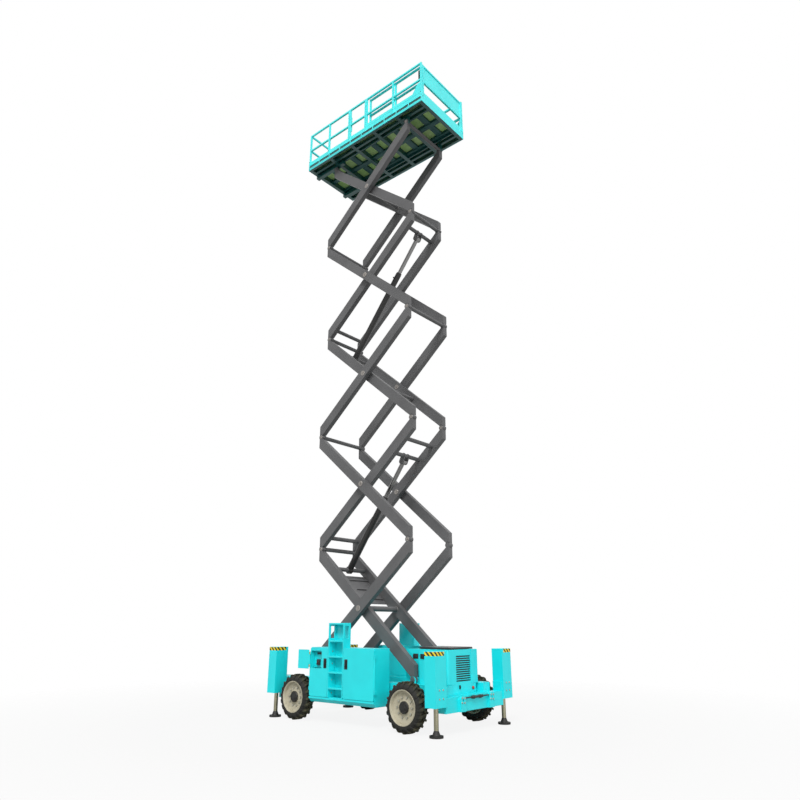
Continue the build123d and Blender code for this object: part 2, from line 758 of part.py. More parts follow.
with BuildPart() as engine:
    middle = (hood_rear + hood_front) / 2
    block((middle - engine_length / 2, middle + engine_length / 2), (-engine_width / 2, engine_width / 2),
          (hood_bottom, hood_bottom + engine_height))
save(engine.part, "engine_block")


# Platform: a deck frame hung on the top arms, with rails, a gate and a roll-out front deck
with BuildPart() as deck:
    for side in (-1, 1):
        edge = side * platform_half_width
        block((platform_rear, platform_front), (edge - side * deck_channel_width, edge), (deck_bottom, deck_top))
        lug_y = side * (outer_arm_face - arm_width / 2)
        with BuildSketch(Plane((front_pin_x, lug_y, top_pin_z), x_dir=(1, 0, 0), z_dir=(0, -1, 0))):
            Circle(boss_radius)
            with Locations((0, deck_drop / 2)):
                Rectangle(2 * boss_radius, deck_drop)
            Circle(hinge_pin_radius + pin_play, mode=Mode.SUBTRACT)
        extrude(amount=lug_half_width, both=True)
        track_y = side * (inner_arm_face - arm_width / 2)
        block((platform_rear, rear_pin_x + track_past), (track_y - deck_beam_width / 2, track_y + deck_beam_width / 2),
              (top_pin_z + roller_radius + pin_play, deck_bottom))
    inner = platform_half_width - deck_channel_width
    for place in range(deck_beam_count):
        x = platform_rear + deck_beam_width / 2 + place * (platform_front - platform_rear - deck_beam_width) / (
            deck_beam_count - 1)
        block((x - deck_beam_width / 2, x + deck_beam_width / 2), (-inner, inner),
              (deck_bottom, deck_top - deck_plate_thickness))
    for side in (-1, 1):
        lug_y = side * (outer_arm_face - arm_width / 2)
        block((platform_rear, platform_front), (lug_y - lug_half_width, lug_y + lug_half_width),
              (deck_bottom, deck_bottom + deck_beam_width))
        block((platform_rear, platform_front),
              (side * (inner_arm_face - arm_width / 2) - deck_plate_thickness,
               side * (inner_arm_face - arm_width / 2) + deck_plate_thickness),
              (deck_bottom, deck_bottom + deck_beam_width))
save(deck.part, "deck_frame")

with BuildPart() as floor:
    inner = platform_half_width - deck_channel_width
    block((platform_rear, platform_front), (-inner, inner), (deck_top - deck_plate_thickness, deck_top))
save(floor.part, "deck_plate")

top_rail = deck_bottom + rail_height
mid_rail = deck_bottom + mid_rail_height


def rail_run(x, y, z):
    """A square rail whose two long ends are the given values on one axis and a centre line on the others."""
    spans = []
    for value in (x, y, z):
        if isinstance(value, tuple):
            spans.append(value)
        else:
            spans.append((value - rail_tube / 2, value + rail_tube / 2))
    block(*spans)


gate_hinge_x = gate_rear + move_gap / 2
gate_hinge_y = -platform_half_width + rail_tube + hinge_eye + move_gap
gate_hinges = (mid_rail - gate_hinge_drop, top_rail - gate_hinge_drop)
with BuildPart() as rails:
    line = platform_half_width - rail_tube / 2
    for side in (-1, 1):
        sections = [(platform_rear, gate_rear), (gate_front, platform_front)]
        if side > 0:
            sections = [(platform_rear, platform_front)]
        for rear, front in sections:
            for height in (top_rail - rail_tube / 2, mid_rail):
                rail_run((rear, front), side * line, height)
            block((rear, front), (side * (line - toe_thickness / 2), side * (line + toe_thickness / 2)),
                  (deck_top, deck_top + toe_height))
            for share in (0, 0.5, 1):
                x = rear + rail_tube / 2 + share * (front - rear - rail_tube)
                rail_run(x, side * line, (deck_top, top_rail))
    for height in (top_rail - rail_tube / 2, mid_rail):
        rail_run(platform_rear + rail_tube / 2, (-line, line), height)
    block((platform_rear + (rail_tube - toe_thickness) / 2, platform_rear + (rail_tube + toe_thickness) / 2),
          (-line, line), (deck_top, deck_top + toe_height))
    rail_run(platform_rear + rail_tube / 2, 0, (deck_top, top_rail))
    for z in gate_hinges:
        low = z - hinge_lug_height / 2
        start = (gate_hinge_x, gate_hinge_y, low)
        end = (gate_hinge_x, gate_hinge_y, low + hinge_lug_height)
        bar(start, end, hinge_eye)
        hinge_lug(
            ((gate_rear - rail_tube, gate_hinge_x), (-platform_half_width + rail_tube, gate_hinge_y + hinge_eye),
             (low, low + hinge_lug_height)), start, end)
save(rails.part, "main_rails")

with BuildPart() as gate:
    line = platform_half_width - rail_tube / 2
    near = gate_rear + move_gap
    far = gate_front - move_gap
    for x in (near + rail_tube / 2, far - rail_tube / 2):
        rail_run(x, -line, (deck_top + move_gap, top_rail))
    for height in (top_rail - rail_tube / 2, mid_rail):
        rail_run((near, far), -line, height)
    block((near, far), (-line - toe_thickness / 2, -line + toe_thickness / 2),
          (deck_top + move_gap, deck_top + toe_height))
    low, high = (z for z in gate_hinges)
    clear = hinge_lug_height / 2 + move_gap
    bar((gate_hinge_x, gate_hinge_y, low - clear), (gate_hinge_x, gate_hinge_y, high + clear), hinge_rod_radius)
    block((gate_hinge_x, near + rail_tube), (-platform_half_width + rail_tube, gate_hinge_y + hinge_rod_radius),
          (low + clear, high - clear))
save(gate.part, "gate")

extension_half = platform_half_width - extension_inset
extension_floor = deck_top + slide_play
with BuildPart() as extension:
    block((extension_rear, platform_front), (-extension_half, extension_half),
          (extension_floor, extension_floor + extension_plate))
save(extension.part, "extension_deck")

with BuildPart() as front_rails:
    line = extension_half - rail_tube / 2
    foot = extension_floor + extension_plate
    for side in (-1, 1):
        for height in (top_rail - rail_tube / 2, mid_rail):
            rail_run((extension_rear, platform_front), side * line, height - rail_tube - move_gap)
        for share in (0, 0.5, 1):
            x = extension_rear + rail_tube / 2 + share * (platform_front - extension_rear - rail_tube)
            rail_run(x, side * line, (foot, top_rail - rail_tube))
        block((extension_rear, platform_front), (side * (line - toe_thickness / 2), side * (line + toe_thickness / 2)),
              (foot, foot + toe_height))
    end = platform_front - rail_tube / 2
    for height in (top_rail - rail_tube / 2, mid_rail):
        rail_run(end, (-line, line), height - rail_tube - move_gap)
    block((end - toe_thickness / 2, end + toe_thickness / 2), (-line, line), (mid_rail, top_rail - rail_tube))
    block((end - toe_thickness / 2, end + toe_thickness / 2), (-line, line), (foot, foot + toe_height))
save(front_rails.part, "extension_rails")

with BuildPart() as control_box:
    line = extension_half - rail_tube
    block((platform_front - rail_tube - control_depth, platform_front - rail_tube),
          (-line + control_side, -line + control_side + control_width),
          (top_rail - rail_tube - control_height, top_rail - rail_tube / 2))
save(control_box.part, "control_box")
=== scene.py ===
import json
from math import cos, pi, radians, sin
import bmesh
import bpy
from mathutils import Matrix, Vector


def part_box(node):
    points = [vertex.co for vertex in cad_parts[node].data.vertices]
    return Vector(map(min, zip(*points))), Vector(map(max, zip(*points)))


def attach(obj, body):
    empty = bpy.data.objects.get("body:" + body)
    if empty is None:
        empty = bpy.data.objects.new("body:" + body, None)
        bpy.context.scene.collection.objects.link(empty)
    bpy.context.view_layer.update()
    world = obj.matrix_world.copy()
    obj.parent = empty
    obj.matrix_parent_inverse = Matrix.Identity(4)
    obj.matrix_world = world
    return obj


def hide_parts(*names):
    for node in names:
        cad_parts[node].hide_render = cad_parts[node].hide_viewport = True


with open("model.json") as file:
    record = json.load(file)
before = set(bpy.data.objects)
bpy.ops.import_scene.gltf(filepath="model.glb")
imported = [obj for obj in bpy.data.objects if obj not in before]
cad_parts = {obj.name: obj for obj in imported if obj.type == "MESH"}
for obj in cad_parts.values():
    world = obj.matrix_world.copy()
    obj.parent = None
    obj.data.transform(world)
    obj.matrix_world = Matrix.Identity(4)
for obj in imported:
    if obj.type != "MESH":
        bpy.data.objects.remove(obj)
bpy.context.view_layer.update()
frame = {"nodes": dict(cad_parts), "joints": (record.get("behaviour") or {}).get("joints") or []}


# Chassis: two box rails and two crossbeams, welded from steel plate and sprayed with turquoise enamel.
# The enamel is glossy with a faint orange peel, a little faded on broad faces and dusty near the ground.
def linear(code):
    """A colour written as sRGB hex, turned to linear light."""
    shares = [int(code[place:place + 2], 16) / 255 for place in (1, 3, 5)]
    return [s / 12.92 if s <= 0.04045 else ((s + 0.055) / 1.055) ** 2.4 for s in shares] + [1]


def add_node(tree, kind, settings={}, links={}):
    """Add a shader node, set its options and sockets, and link sockets or nodes' first outputs into it."""
    made = tree.nodes.new("ShaderNode" + kind)
    for name, value in settings.items():
        if isinstance(name, str) and name not in made.inputs:
            setattr(made, name, value)
        else:
            made.inputs[name].default_value = value
    for name, source in links.items():
        socket = source.outputs[0] if isinstance(source, bpy.types.Node) else source
        tree.links.new(socket, made.inputs[name])
    return made


def new_material(name):
    """Start a material, and give its nodes, its shader and its Object coordinates."""
    material = bpy.data.materials.new(name)
    material.use_nodes = True
    tree = material.node_tree
    return material, tree, tree.nodes["Principled BSDF"], add_node(tree, "TexCoord").outputs["Object"]


def colour_and_gloss(tree, shader, tone, pattern, low, high):
    """Link a colour to a shader, and let its roughness follow a pattern from low to high."""
    gloss = add_node(tree, "MapRange", {"To Min": low, "To Max": high}, {"Value": pattern})
    tree.links.new(tone.outputs[2], shader.inputs["Base Color"])
    tree.links.new(gloss.outputs[0], shader.inputs["Roughness"])


def sprayed_paint(name, fresh, faded, rough, dust, dust_height, coat=0.12):
    """Sprayed enamel on steel, with fading in broad patches, orange peel and road dust low down."""
    patch_size = 0.45
    peel_size = 0.012
    grit_size = 0.05
    edge_round = 0.004
    gloss_spread = 0.12
    material, tree, shader, place = new_material(name)
    patches = add_node(tree, "TexNoise", {"Scale": 1 / patch_size, "Detail": 3.0}, {"Vector": place})
    spread = add_node(tree, "MapRange", {"From Min": 0.35, "From Max": 0.65}, {"Value": patches})
    body = add_node(tree, "Mix", {"data_type": "RGBA", 6: linear(fresh), 7: linear(faded)},
                    {"Factor": spread})
    grit = add_node(tree, "TexNoise", {"Scale": 1 / grit_size, "Detail": 6.0, "Roughness": 0.7},
                    {"Vector": place})
    height = add_node(tree, "SeparateXYZ", {}, {"Vector": place}).outputs["Z"]
    low = add_node(tree, "MapRange", {"From Min": dust_height, "From Max": 0.0, "To Max": 0.9},
                   {"Value": height})
    amount = add_node(tree, "Math", {"operation": "MULTIPLY"}, {0: low, 1: grit})
    dusty = add_node(tree, "Mix", {"data_type": "RGBA", 7: linear(dust)},
                     {"Factor": amount, 6: body.outputs[2]})
    colour_and_gloss(tree, shader, dusty, grit, rough, rough + gloss_spread)
    peel = add_node(tree, "TexNoise", {"Scale": 1 / peel_size, "Detail": 1.0}, {"Vector": place})
    rounded = add_node(tree, "Bevel", {"samples": 4, "Radius": edge_round})
    bump = add_node(tree, "Bump", {"Strength": 0.06, "Distance": 0.002}, {"Height": peel, "Normal": rounded})
    tree.links.new(bump.outputs[0], shader.inputs["Normal"])
    for name, value in (("IOR", 1.5), ("Coat Weight", coat), ("Coat Roughness", 0.12)):
        shader.inputs[name].default_value = value
    return material


def dress(material, *names):
    """Give CAD nodes one finish."""
    for name in names:
        node = frame["nodes"][name]
        node.data.materials.clear()
        node.data.materials.append(material)


turquoise_enamel = sprayed_paint("turquoise_enamel", "#12dfe5", "#10d8df", 0.36, "#7b8a80", 0.4)
dress(turquoise_enamel, "chassis_frame", "front_crossbeam", "rear_crossbeam")


# Crossbeam fixings: zinc-plated hexagon bolts that clamp the pins of the front ears.
# The plating is a dull silver with a faint yellow cast, blotched where it was dipped.
def plated_steel(name, bright, dull, rough, blotch_size):
    """Plated steel, its tone and gloss uneven in small blotches."""
    gloss_spread = 0.2
    material, tree, shader, place = new_material(name)
    blotches = add_node(tree, "TexNoise", {"Scale": 1 / blotch_size, "Detail": 4.0}, {"Vector": place})
    tone = add_node(tree, "Mix", {"data_type": "RGBA", 6: linear(bright), 7: linear(dull)},
                    {"Factor": blotches})
    colour_and_gloss(tree, shader, tone, blotches, rough, rough + gloss_spread)
    shader.inputs["Metallic"].default_value = 0.85
    return material


def hex_head(shape, foot, way, across, height):
    """Add a hexagon bolt head on its washer, standing on a face."""
    way = Vector(way)
    turn = Vector((0, 0, 1)).rotation_difference(way).to_matrix().to_4x4()
    washer_top = 0.2 * height
    washer = (20, 0.72 * across, 0, washer_top)
    head = (6, across / 2 / cos(pi / 6), washer_top, height)
    for sides, radius, low, high in (washer, head):
        middle = Matrix.Translation(Vector(foot) + way * (low + high) / 2) @ turn
        bmesh.ops.create_cone(shape, cap_ends=True, segments=sides, radius1=radius, radius2=radius,
                              depth=high - low, matrix=middle)


def new_piece(name, shape, material, body):
    """Close a shape up, give it its finish, and let it ride on a body."""
    weld_gap = 1e-5
    sharp_angle = radians(32)
    bmesh.ops.remove_doubles(shape, verts=shape.verts[:], dist=weld_gap)
    bmesh.ops.recalc_face_normals(shape, faces=shape.faces[:])
    mesh = bpy.data.meshes.new(name)
    shape.to_mesh(mesh)
    shape.free()
    mesh.shade_smooth()
    mesh.set_sharp_from_angle(angle=sharp_angle)
    mesh.materials.append(material)
    made = bpy.data.objects.new(name, mesh)
    bpy.context.scene.collection.objects.link(made)
    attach(made, body)
    return made


zinc_plate = plated_steel("zinc_plate", "#c9c8bd", "#9b9a8e", 0.35, 0.02)
ear_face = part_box("front_crossbeam")[1].x
ear_centre = Vector((ear_face, 0.43, 0.5))
ear_bolt_ring = 0.05
ear_bolt_turns = (40, 130, 220, 310)
# A bolt has its width across the flats and the height of its head.
ear_bolt = (0.022, 0.012)
ear_bolts = bmesh.new()
for side in (-1, 1):
    for turn in ear_bolt_turns:
        foot = (ear_centre.x, side * ear_centre.y + ear_bolt_ring * cos(radians(turn)),
                ear_centre.z + ear_bolt_ring * sin(radians(turn)))
        hex_head(ear_bolts, foot, (1, 0, 0), *ear_bolt)
new_piece("ear_bolts", ear_bolts, zinc_plate, "chassis")


# Axles, knuckles, engine and steering cylinder: castings, forgings and drawn tube, dipped in black enamel.
# The enamel is satin and gathers brown road dust. Two plates clamp the steering cylinder to the front beam.
black_enamel = sprayed_paint("black_enamel", "#151515", "#1d1c1b", 0.42, "#4c463c", 0.6)
dress(black_enamel, "front_axle", "rear_axle", "knuckle_right", "knuckle_left", "engine_block")


def rounded_block(shape, low, high, edge):
    """Add a block between two corners with rounded edges, and return its faces."""
    low = Vector(low)
    high = Vector(high)
    size = Matrix.Diagonal((high.x - low.x, high.y - low.y, high.z - low.z, 1))
    made = bmesh.ops.create_cube(shape, size=1, matrix=Matrix.Translation((low + high) / 2) @ size)["verts"]
    faces = {face for vert in made for face in vert.link_faces}
    edges = list({line for vert in made for line in vert.link_edges})
    bevelled = bmesh.ops.bevel(shape, geom=edges, offset=edge, offset_type="OFFSET", segments=2, profile=0.5,
                               affect="EDGES", material=-1)
    return [face for face in list(faces) + bevelled["faces"] if face.is_valid]


def turned(shape, foot, way, profile, steps=28):
    """Add a piece turned on a lathe: pairs of radius and height above its foot, spun about an axis."""
    way = Vector(way).normalized()
    foot = Vector(foot)
    across = way.orthogonal().normalized()
    points = [shape.verts.new(foot + across * radius + way * height) for radius, height in profile]
    lines = [shape.edges.new(pair) for pair in zip(points, points[1:])]
    bmesh.ops.spin(shape, geom=points + lines, cent=foot, axis=way, angle=2 * pi, steps=steps, use_merge=True)


beam_face = 2.19
steer_x = 2.214
steer_z = 0.53
steer_end = 0.356
steer_rod = 0.011
steer_barrel = 0.02
steer_collar = 0.022
steer_half = [(0, 0), (steer_rod, 0), (steer_rod, 0.186), (steer_barrel, 0.19), (steer_collar, 0.2),
              (steer_collar, 0.22), (steer_barrel, 0.224)]
clamp_ys = (-0.1, 0.1)
clamp_half = 0.018
clamp_span = (-0.027, 0.024)
plate_edge = 0.003
steering = bmesh.new()
turned(steering, (steer_x, -steer_end, steer_z), (0, 1, 0),
       steer_half + [(radius, 2 * steer_end - height) for radius, height in steer_half[::-1]])
for y in clamp_ys:
    rounded_block(steering, (beam_face, y - clamp_half, steer_z + clamp_span[0]),
                  (steer_x + steer_barrel, y + clamp_half, steer_z + clamp_span[1]), plate_edge)
new_piece("steering_cylinder", steering, black_enamel, "chassis")


# Wheels: lugged rubber tyres on pressed steel rims in stone-coloured enamel, with black hubs.
# The rubber is matt, and its lugs have dried mud on them, so they look brown beside the black sidewall.
# Both replace the plain CAD ones. Ten plated nuts hold each rim, and eight black bolts close each hub.
def wheel_finish(name, axle, split, blend, inner, outer, stain, rough):
    """A finish in two zones, inside and outside a radius about the axle, with stains in patches."""
    stain_size = 0.07
    grain_size = 0.006
    gloss_spread = 0.15
    material, tree, shader, place = new_material(name)
    flat = add_node(tree, "Mapping", {"Location": (-axle.x, 0, -axle.z), "Scale": (1, 0, 1)},
                    {"Vector": place})
    reach = add_node(tree, "VectorMath", {"operation": "LENGTH"}, {0: flat})
    zone = add_node(tree, "MapRange", {"From Min": split - blend, "From Max": split + blend},
                    {"Value": reach.outputs["Value"]})
    body = add_node(tree, "Mix", {"data_type": "RGBA", 6: linear(inner), 7: linear(outer)}, {"Factor": zone})
    stains = add_node(tree, "TexNoise", {"Scale": 1 / stain_size, "Detail": 5.0, "Roughness": 0.65},
                      {"Vector": place})
    patches = add_node(tree, "MapRange", {"From Min": 0.45, "From Max": 0.75, "To Max": 0.8},
                       {"Value": stains})
    stained = add_node(tree, "Math", {"operation": "MULTIPLY"}, {0: patches, 1: zone})
    tone = add_node(tree, "Mix", {"data_type": "RGBA", 7: linear(stain)},
                    {"Factor": stained, 6: body.outputs[2]})
    colour_and_gloss(tree, shader, tone, stains, rough, rough + gloss_spread)
    grain = add_node(tree, "TexNoise", {"Scale": 1 / grain_size, "Detail": 2.0}, {"Vector": place})
    bump = add_node(tree, "Bump", {"Strength": 0.15, "Distance": 0.001}, {"Height": grain})
    tree.links.new(bump.outputs[0], shader.inputs["Normal"])
    return material


def banded(shape, near, far):
    """Join two rings of points by a band of faces, and return them."""
    pairs = [(spot - 1, spot) for spot in range(len(near))]
    return [shape.faces.new((near[last], near[spot], far[spot], far[last])) for last, spot in pairs]


hub_radius = 0.097
hub_blend = 0.0008
lug_root = 0.362
lug_blend = 0.012
bead_radius = 0.262
tread_radius = 0.395
wheel_middle = 0.993
tyre_half = [(bead_radius, 0.105), (0.284, 0.127), (0.3, 0.13), (0.322, 0.125), (0.345, 0.105),
             (lug_root, 0.08)]
tyre_profile = [(radius, -out) for radius, out in tyre_half] + tyre_half[::-1]
tyre_profile.append(tyre_profile[0])
tyre_steps = 56
lug_count = 20
lug_root_half = 0.02375
lug_top_half = 0.0171
lug_slant = radians(24)
lug_overlap = 0.014
lug_stations = ((-lug_overlap, 0.352, tread_radius), (0.076, 0.35, 0.394), (0.106, 0.325, 0.361),
                (0.131, 0.3, 0.331))


def lug(shape, middle, way, start):
    """Add one slanted lug to a tyre, from the middle of its tread out over one shoulder."""
    rings = []
    for out, root, top in lug_stations:
        bend = start + (out + lug_overlap) * sin(lug_slant) / tread_radius
        ring = []
        corners = ((root, -lug_root_half), (root, lug_root_half), (top, lug_top_half), (top, -lug_top_half))
        for radius, half in corners:
            turn = bend + half / tread_radius
            ring.append(shape.verts.new(middle + Vector((radius * sin(turn), way * out, radius * cos(turn)))))
        rings.append(ring)
    for near, far in zip(rings, rings[1:]):
        banded(shape, near, far)
    shape.faces.new(rings[0])
    shape.faces.new(rings[-1])


disc_out = 0.05
rim_profile = [(0, 0.086), (0.0403, 0.086), (0.0403, -0.075), (0.094, -0.075), (0.094, 0.02), (0.236, 0.044),
               (0.244, -0.1), (bead_radius, -0.106), (bead_radius, 0.106), (0.274, 0.119), (0.27, 0.125),
               (0.26, 0.123), (0.25, 0.108), (0.24, 0.068), (0.192, disc_out), (0.128, disc_out),
               (0.104, 0.058), (0.0965, 0.062), (0.0965, 0.084), (0.088, 0.096), (0.05, 0.1),
               (0.046, 0.107), (0, 0.108)]
rim_steps = 64
nut_ring = 0.157
nut_count = 10
nut = (0.027, 0.02)
hub_bolt_ring = 0.07
hub_bolt_count = 8
hub_bolt_foot = 0.097
hub_bolt = (0.018, 0.01)
wheel_bolts = (("wheel_nuts", nut_count, nut_ring, disc_out, nut, zinc_plate, "jack_steel"),
               ("hub_bolts", hub_bolt_count, hub_bolt_ring, hub_bolt_foot, hub_bolt, black_enamel,
                "black_paint"))
hands = ((-1, "right"), (1, "left"))
joint_place = {joint["name"]: Vector(joint["pos_m"]) for joint in frame["joints"] if joint["type"] == "hinge"}
for axle_name in ("front", "rear"):
    axle = joint_place[f"wheel_{axle_name}_right_spin"]
    rim_enamel = wheel_finish(f"stone_rim_enamel_{axle_name}", axle, hub_radius, hub_blend, "#131312",
                              "#b2ac97", "#938b74", 0.42)
    tyre_rubber = wheel_finish(f"tyre_rubber_{axle_name}", axle, lug_root, lug_blend, "#171713", "#2b2a1c",
                               "#5d573a", 0.72)
    for side, hand in hands:
        corner = f"{axle_name}_{hand}"
        middle = Vector((axle.x, side * wheel_middle, axle.z))
        tyre = bmesh.new()
        turned(tyre, middle, (0, side, 0), tyre_profile, steps=tyre_steps)
        for way in (-1, 1):
            for place in range(lug_count):
                lug(tyre, middle, way, 2 * pi * (place + way / 4) / lug_count)
        made = new_piece(f"lugged_tyre_{corner}", tyre, tyre_rubber, f"wheel_{corner}")
        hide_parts(f"tyre_{corner}")
        rim = bmesh.new()
        turned(rim, middle, (0, side, 0), rim_profile, steps=rim_steps)
        made = new_piece(f"dished_rim_{corner}", rim, rim_enamel, f"wheel_{corner}")
        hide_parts(f"rim_{corner}")
        for name, count, ring, out, bolt, finish, slot in wheel_bolts:
            bolts = bmesh.new()
            for place in range(count):
                turn = 2 * pi * place / count
                foot = middle + Vector((ring * cos(turn), side * out, ring * sin(turn)))
                hex_head(bolts, foot, (0, side, 0), *bolt)
            new_piece(f"{name}_{corner}", bolts, finish, f"wheel_{corner}")


# Jacks: tall turquoise boxes, each with a ground steel leg that ends in a black cast foot.
# Diagonal warning tape runs round the top of each box, and four bolts hold its cylinder low down.
dress(turquoise_enamel, "jack_boxes")
foot_top = 0.1045
groove_run = 0.05
groove_pitch = 0.004
leg_steel, tree, shader, place = new_material("ground_steel_leg")
leg_height = add_node(tree, "SeparateXYZ", {}, {"Vector": place}).outputs["Z"]
leg_zone = add_node(tree, "Math", {"operation": "GREATER_THAN", 1: foot_top}, {0: leg_height})
grinding = add_node(tree, "Mapping", {"Scale": (1 / groove_run, 1 / groove_run, 1 / groove_pitch)},
                    {"Vector": place})
grooves = add_node(tree, "TexNoise", {"Scale": 1.0, "Detail": 2.0}, {"Vector": grinding})
leg_tone = add_node(tree, "Mix", {"data_type": "RGBA", 6: linear("#b9b49a"), 7: linear("#8f8b76")},
                    {"Factor": grooves})
leg_colour = add_node(tree, "Mix", {"data_type": "RGBA", 6: linear("#191816")},
                      {"Factor": leg_zone, 7: leg_tone.outputs[2]})
colour_and_gloss(tree, shader, leg_colour, leg_zone, 0.62, 0.3)
tree.links.new(leg_zone.outputs[0], shader.inputs["Metallic"])
for corner in ("front_right", "front_left", "rear_right", "rear_left"):
    dress(leg_steel, f"jack_leg_{corner}")

stripe_width = 0.045
scuffs_per_metre = 60.0
warning_tape, tree, shader, place = new_material("warning_tape")
along = add_node(tree, "VectorMath", {"operation": "DOT_PRODUCT", 1: (1, 1, 1)}, {0: place})
turns = add_node(tree, "Math", {"operation": "DIVIDE", 1: 2 * stripe_width}, {0: along.outputs["Value"]})
share = add_node(tree, "Math", {"operation": "FRACT"}, {0: turns})
stripe = add_node(tree, "Math", {"operation": "GREATER_THAN", 1: 0.5}, {0: share})
scuffs = add_node(tree, "TexNoise", {"Scale": scuffs_per_metre, "Detail": 4.0}, {"Vector": place})
yellow = add_node(tree, "Mix", {"data_type": "RGBA", 6: linear("#f5dc1e"), 7: linear("#e3c414")},
                  {"Factor": scuffs})
tape_colour = add_node(tree, "Mix", {"data_type": "RGBA", 7: linear("#14140f")},
                       {"Factor": stripe, 6: yellow.outputs[2]})
colour_and_gloss(tree, shader, tape_colour, scuffs, 0.35, 0.55)


def draw_out(shape, made, way):
    """Move the new end of an extrusion along a way."""
    ends = [item for item in made["geom"] if isinstance(item, bmesh.types.BMVert)]
    bmesh.ops.translate(shape, vec=way, verts=ends)


jack_xs = (2.1, -1.8)
jack_y = 1.0
box_half_length = 0.11
box_half_width = 0.145
tape_low = 1.196
tape_height = 0.062
tape_lift = 0.0006
tape_thickness = 0.0004
tape_reach = 0.24
jack_bolt_zs = (0.56, 0.69)
jack_bolt_offset = 0.05
jack_bolt = (0.02, 0.011)
tapes = bmesh.new()
jack_bolts = bmesh.new()
for x in jack_xs:
    ahead = 1 if x > 0 else -1
    for side in (-1, 1):
        outer = side * (jack_y + box_half_width + tape_lift)
        inner = outer - side * tape_reach
        half = box_half_length + tape_lift
        route = [(x + half, inner), (x + half, outer), (x - half, outer), (x - half, inner)]
        points = [tapes.verts.new((*point, tape_low)) for point in route]
        lines = [tapes.edges.new(pair) for pair in zip(points, points[1:])]
        draw_out(tapes, bmesh.ops.extrude_edge_only(tapes, edges=lines), (0, 0, tape_height))
        for offset in (-jack_bolt_offset, jack_bolt_offset):
            for z in jack_bolt_zs:
                foot = (x + ahead * box_half_length, side * jack_y + offset, z)
                hex_head(jack_bolts, foot, (ahead, 0, 0), *jack_bolt)
bmesh.ops.solidify(tapes, geom=tapes.faces[:], thickness=tape_thickness)
new_piece("warning_tapes", tapes, warning_tape, "chassis")
new_piece("jack_bolts", jack_bolts, zinc_plate, "chassis")


# Side pods: folded steel cabinets with doors and a step ladder in the middle, in turquoise enamel.
# Each door has a black moulded grip, screwed onto its skin.
# The ladders replace the plainer CAD ones. They are welded from plate, with hand holes in their raised tops.
dress(turquoise_enamel, "side_pod_right", "side_pod_left", "rear_door_right", "rear_door_left",
      "front_door_right", "front_door_left", "control_flap")


def moulded_plastic(name, colour, worn, rough, grain_size):
    """Moulded plastic with a fine spark-eroded grain, drawn coarser than the real one so that it shows."""
    gloss_spread = 0.15
    material, tree, shader, place = new_material(name)
    grain = add_node(tree, "TexNoise", {"Scale": 1 / grain_size, "Detail": 2.0}, {"Vector": place})
    tone = add_node(tree, "Mix", {"data_type": "RGBA", 6: linear(colour), 7: linear(worn)}, {"Factor": grain})
    colour_and_gloss(tree, shader, tone, grain, rough, rough + gloss_spread)
    bump = add_node(tree, "Bump", {"Strength": 0.2, "Distance": 0.0006}, {"Height": grain})
    tree.links.new(bump.outputs[0], shader.inputs["Normal"])
    return material


def about(middle, half):
    """The two ends of a span, from its middle and half its length."""
    return middle - half, middle + half


def side_block(shape, side, xs, outs, zs, edge):
    """Add a rounded block on one side of the machine, with its reach across counted from the middle."""
    ys = sorted((side * outs[0], side * outs[1]))
    return rounded_block(shape, (xs[0], ys[0], zs[0]), (xs[1], ys[1], zs[1]), edge)


black_plastic = moulded_plastic("black_plastic", "#101011", "#1b1b1c", 0.4, 0.002)
pod_face = 1.1
handle_z = 1.005
handle_xs = {"rear": -0.361, "front": 0.176}
# Each block of a handle has half its width and height, its reach from the skin, and its edge.
handle_plate = (0.038, 0.083, 0, 0.0045, 0.0015)
handle_bed = (0.013, 0.074, 0.004, 0.007, 0.0015)
handle_grip = (0.011, 0.06, 0.016, 0.026, 0.004)
handle_post = (0.011, 0.009, 0.006, 0.022, 0.003)
post_z = handle_grip[1] - handle_post[1]
handle_blocks = ((handle_plate, 0), (handle_bed, 0), (handle_grip, 0), (handle_post, -post_z),
                 (handle_post, post_z))
handle_screw_z = 0.067
handle_screw_out = 0.0065
handle_screw = (0.009, 0.004)
for end, x in handle_xs.items():
    for side, hand in hands:
        latch = bmesh.new()
        for (width, height, low, high, edge), z in handle_blocks:
            side_block(latch, side, about(x, width), (pod_face + low, pod_face + high),
                       about(handle_z + z, height), edge)
        for z in (-handle_screw_z, handle_screw_z):
            foot = (x, side * (pod_face + handle_screw_out), handle_z + z)
            hex_head(latch, foot, (0, side, 0), *handle_screw)
        new_piece(f"door_latch_{end}_{hand}", latch, black_plastic, f"{end}_door_{hand}")

ladder_back = 0.919
ladder_span = (-0.29, 0.105)
ladder_foot = 0.44
ladder_top = 1.704
ladder_cheek = 0.025
ladder_plate = 0.015
step_tops = (0.606, 0.869, 1.137, 1.405)
step_thickness = 0.03
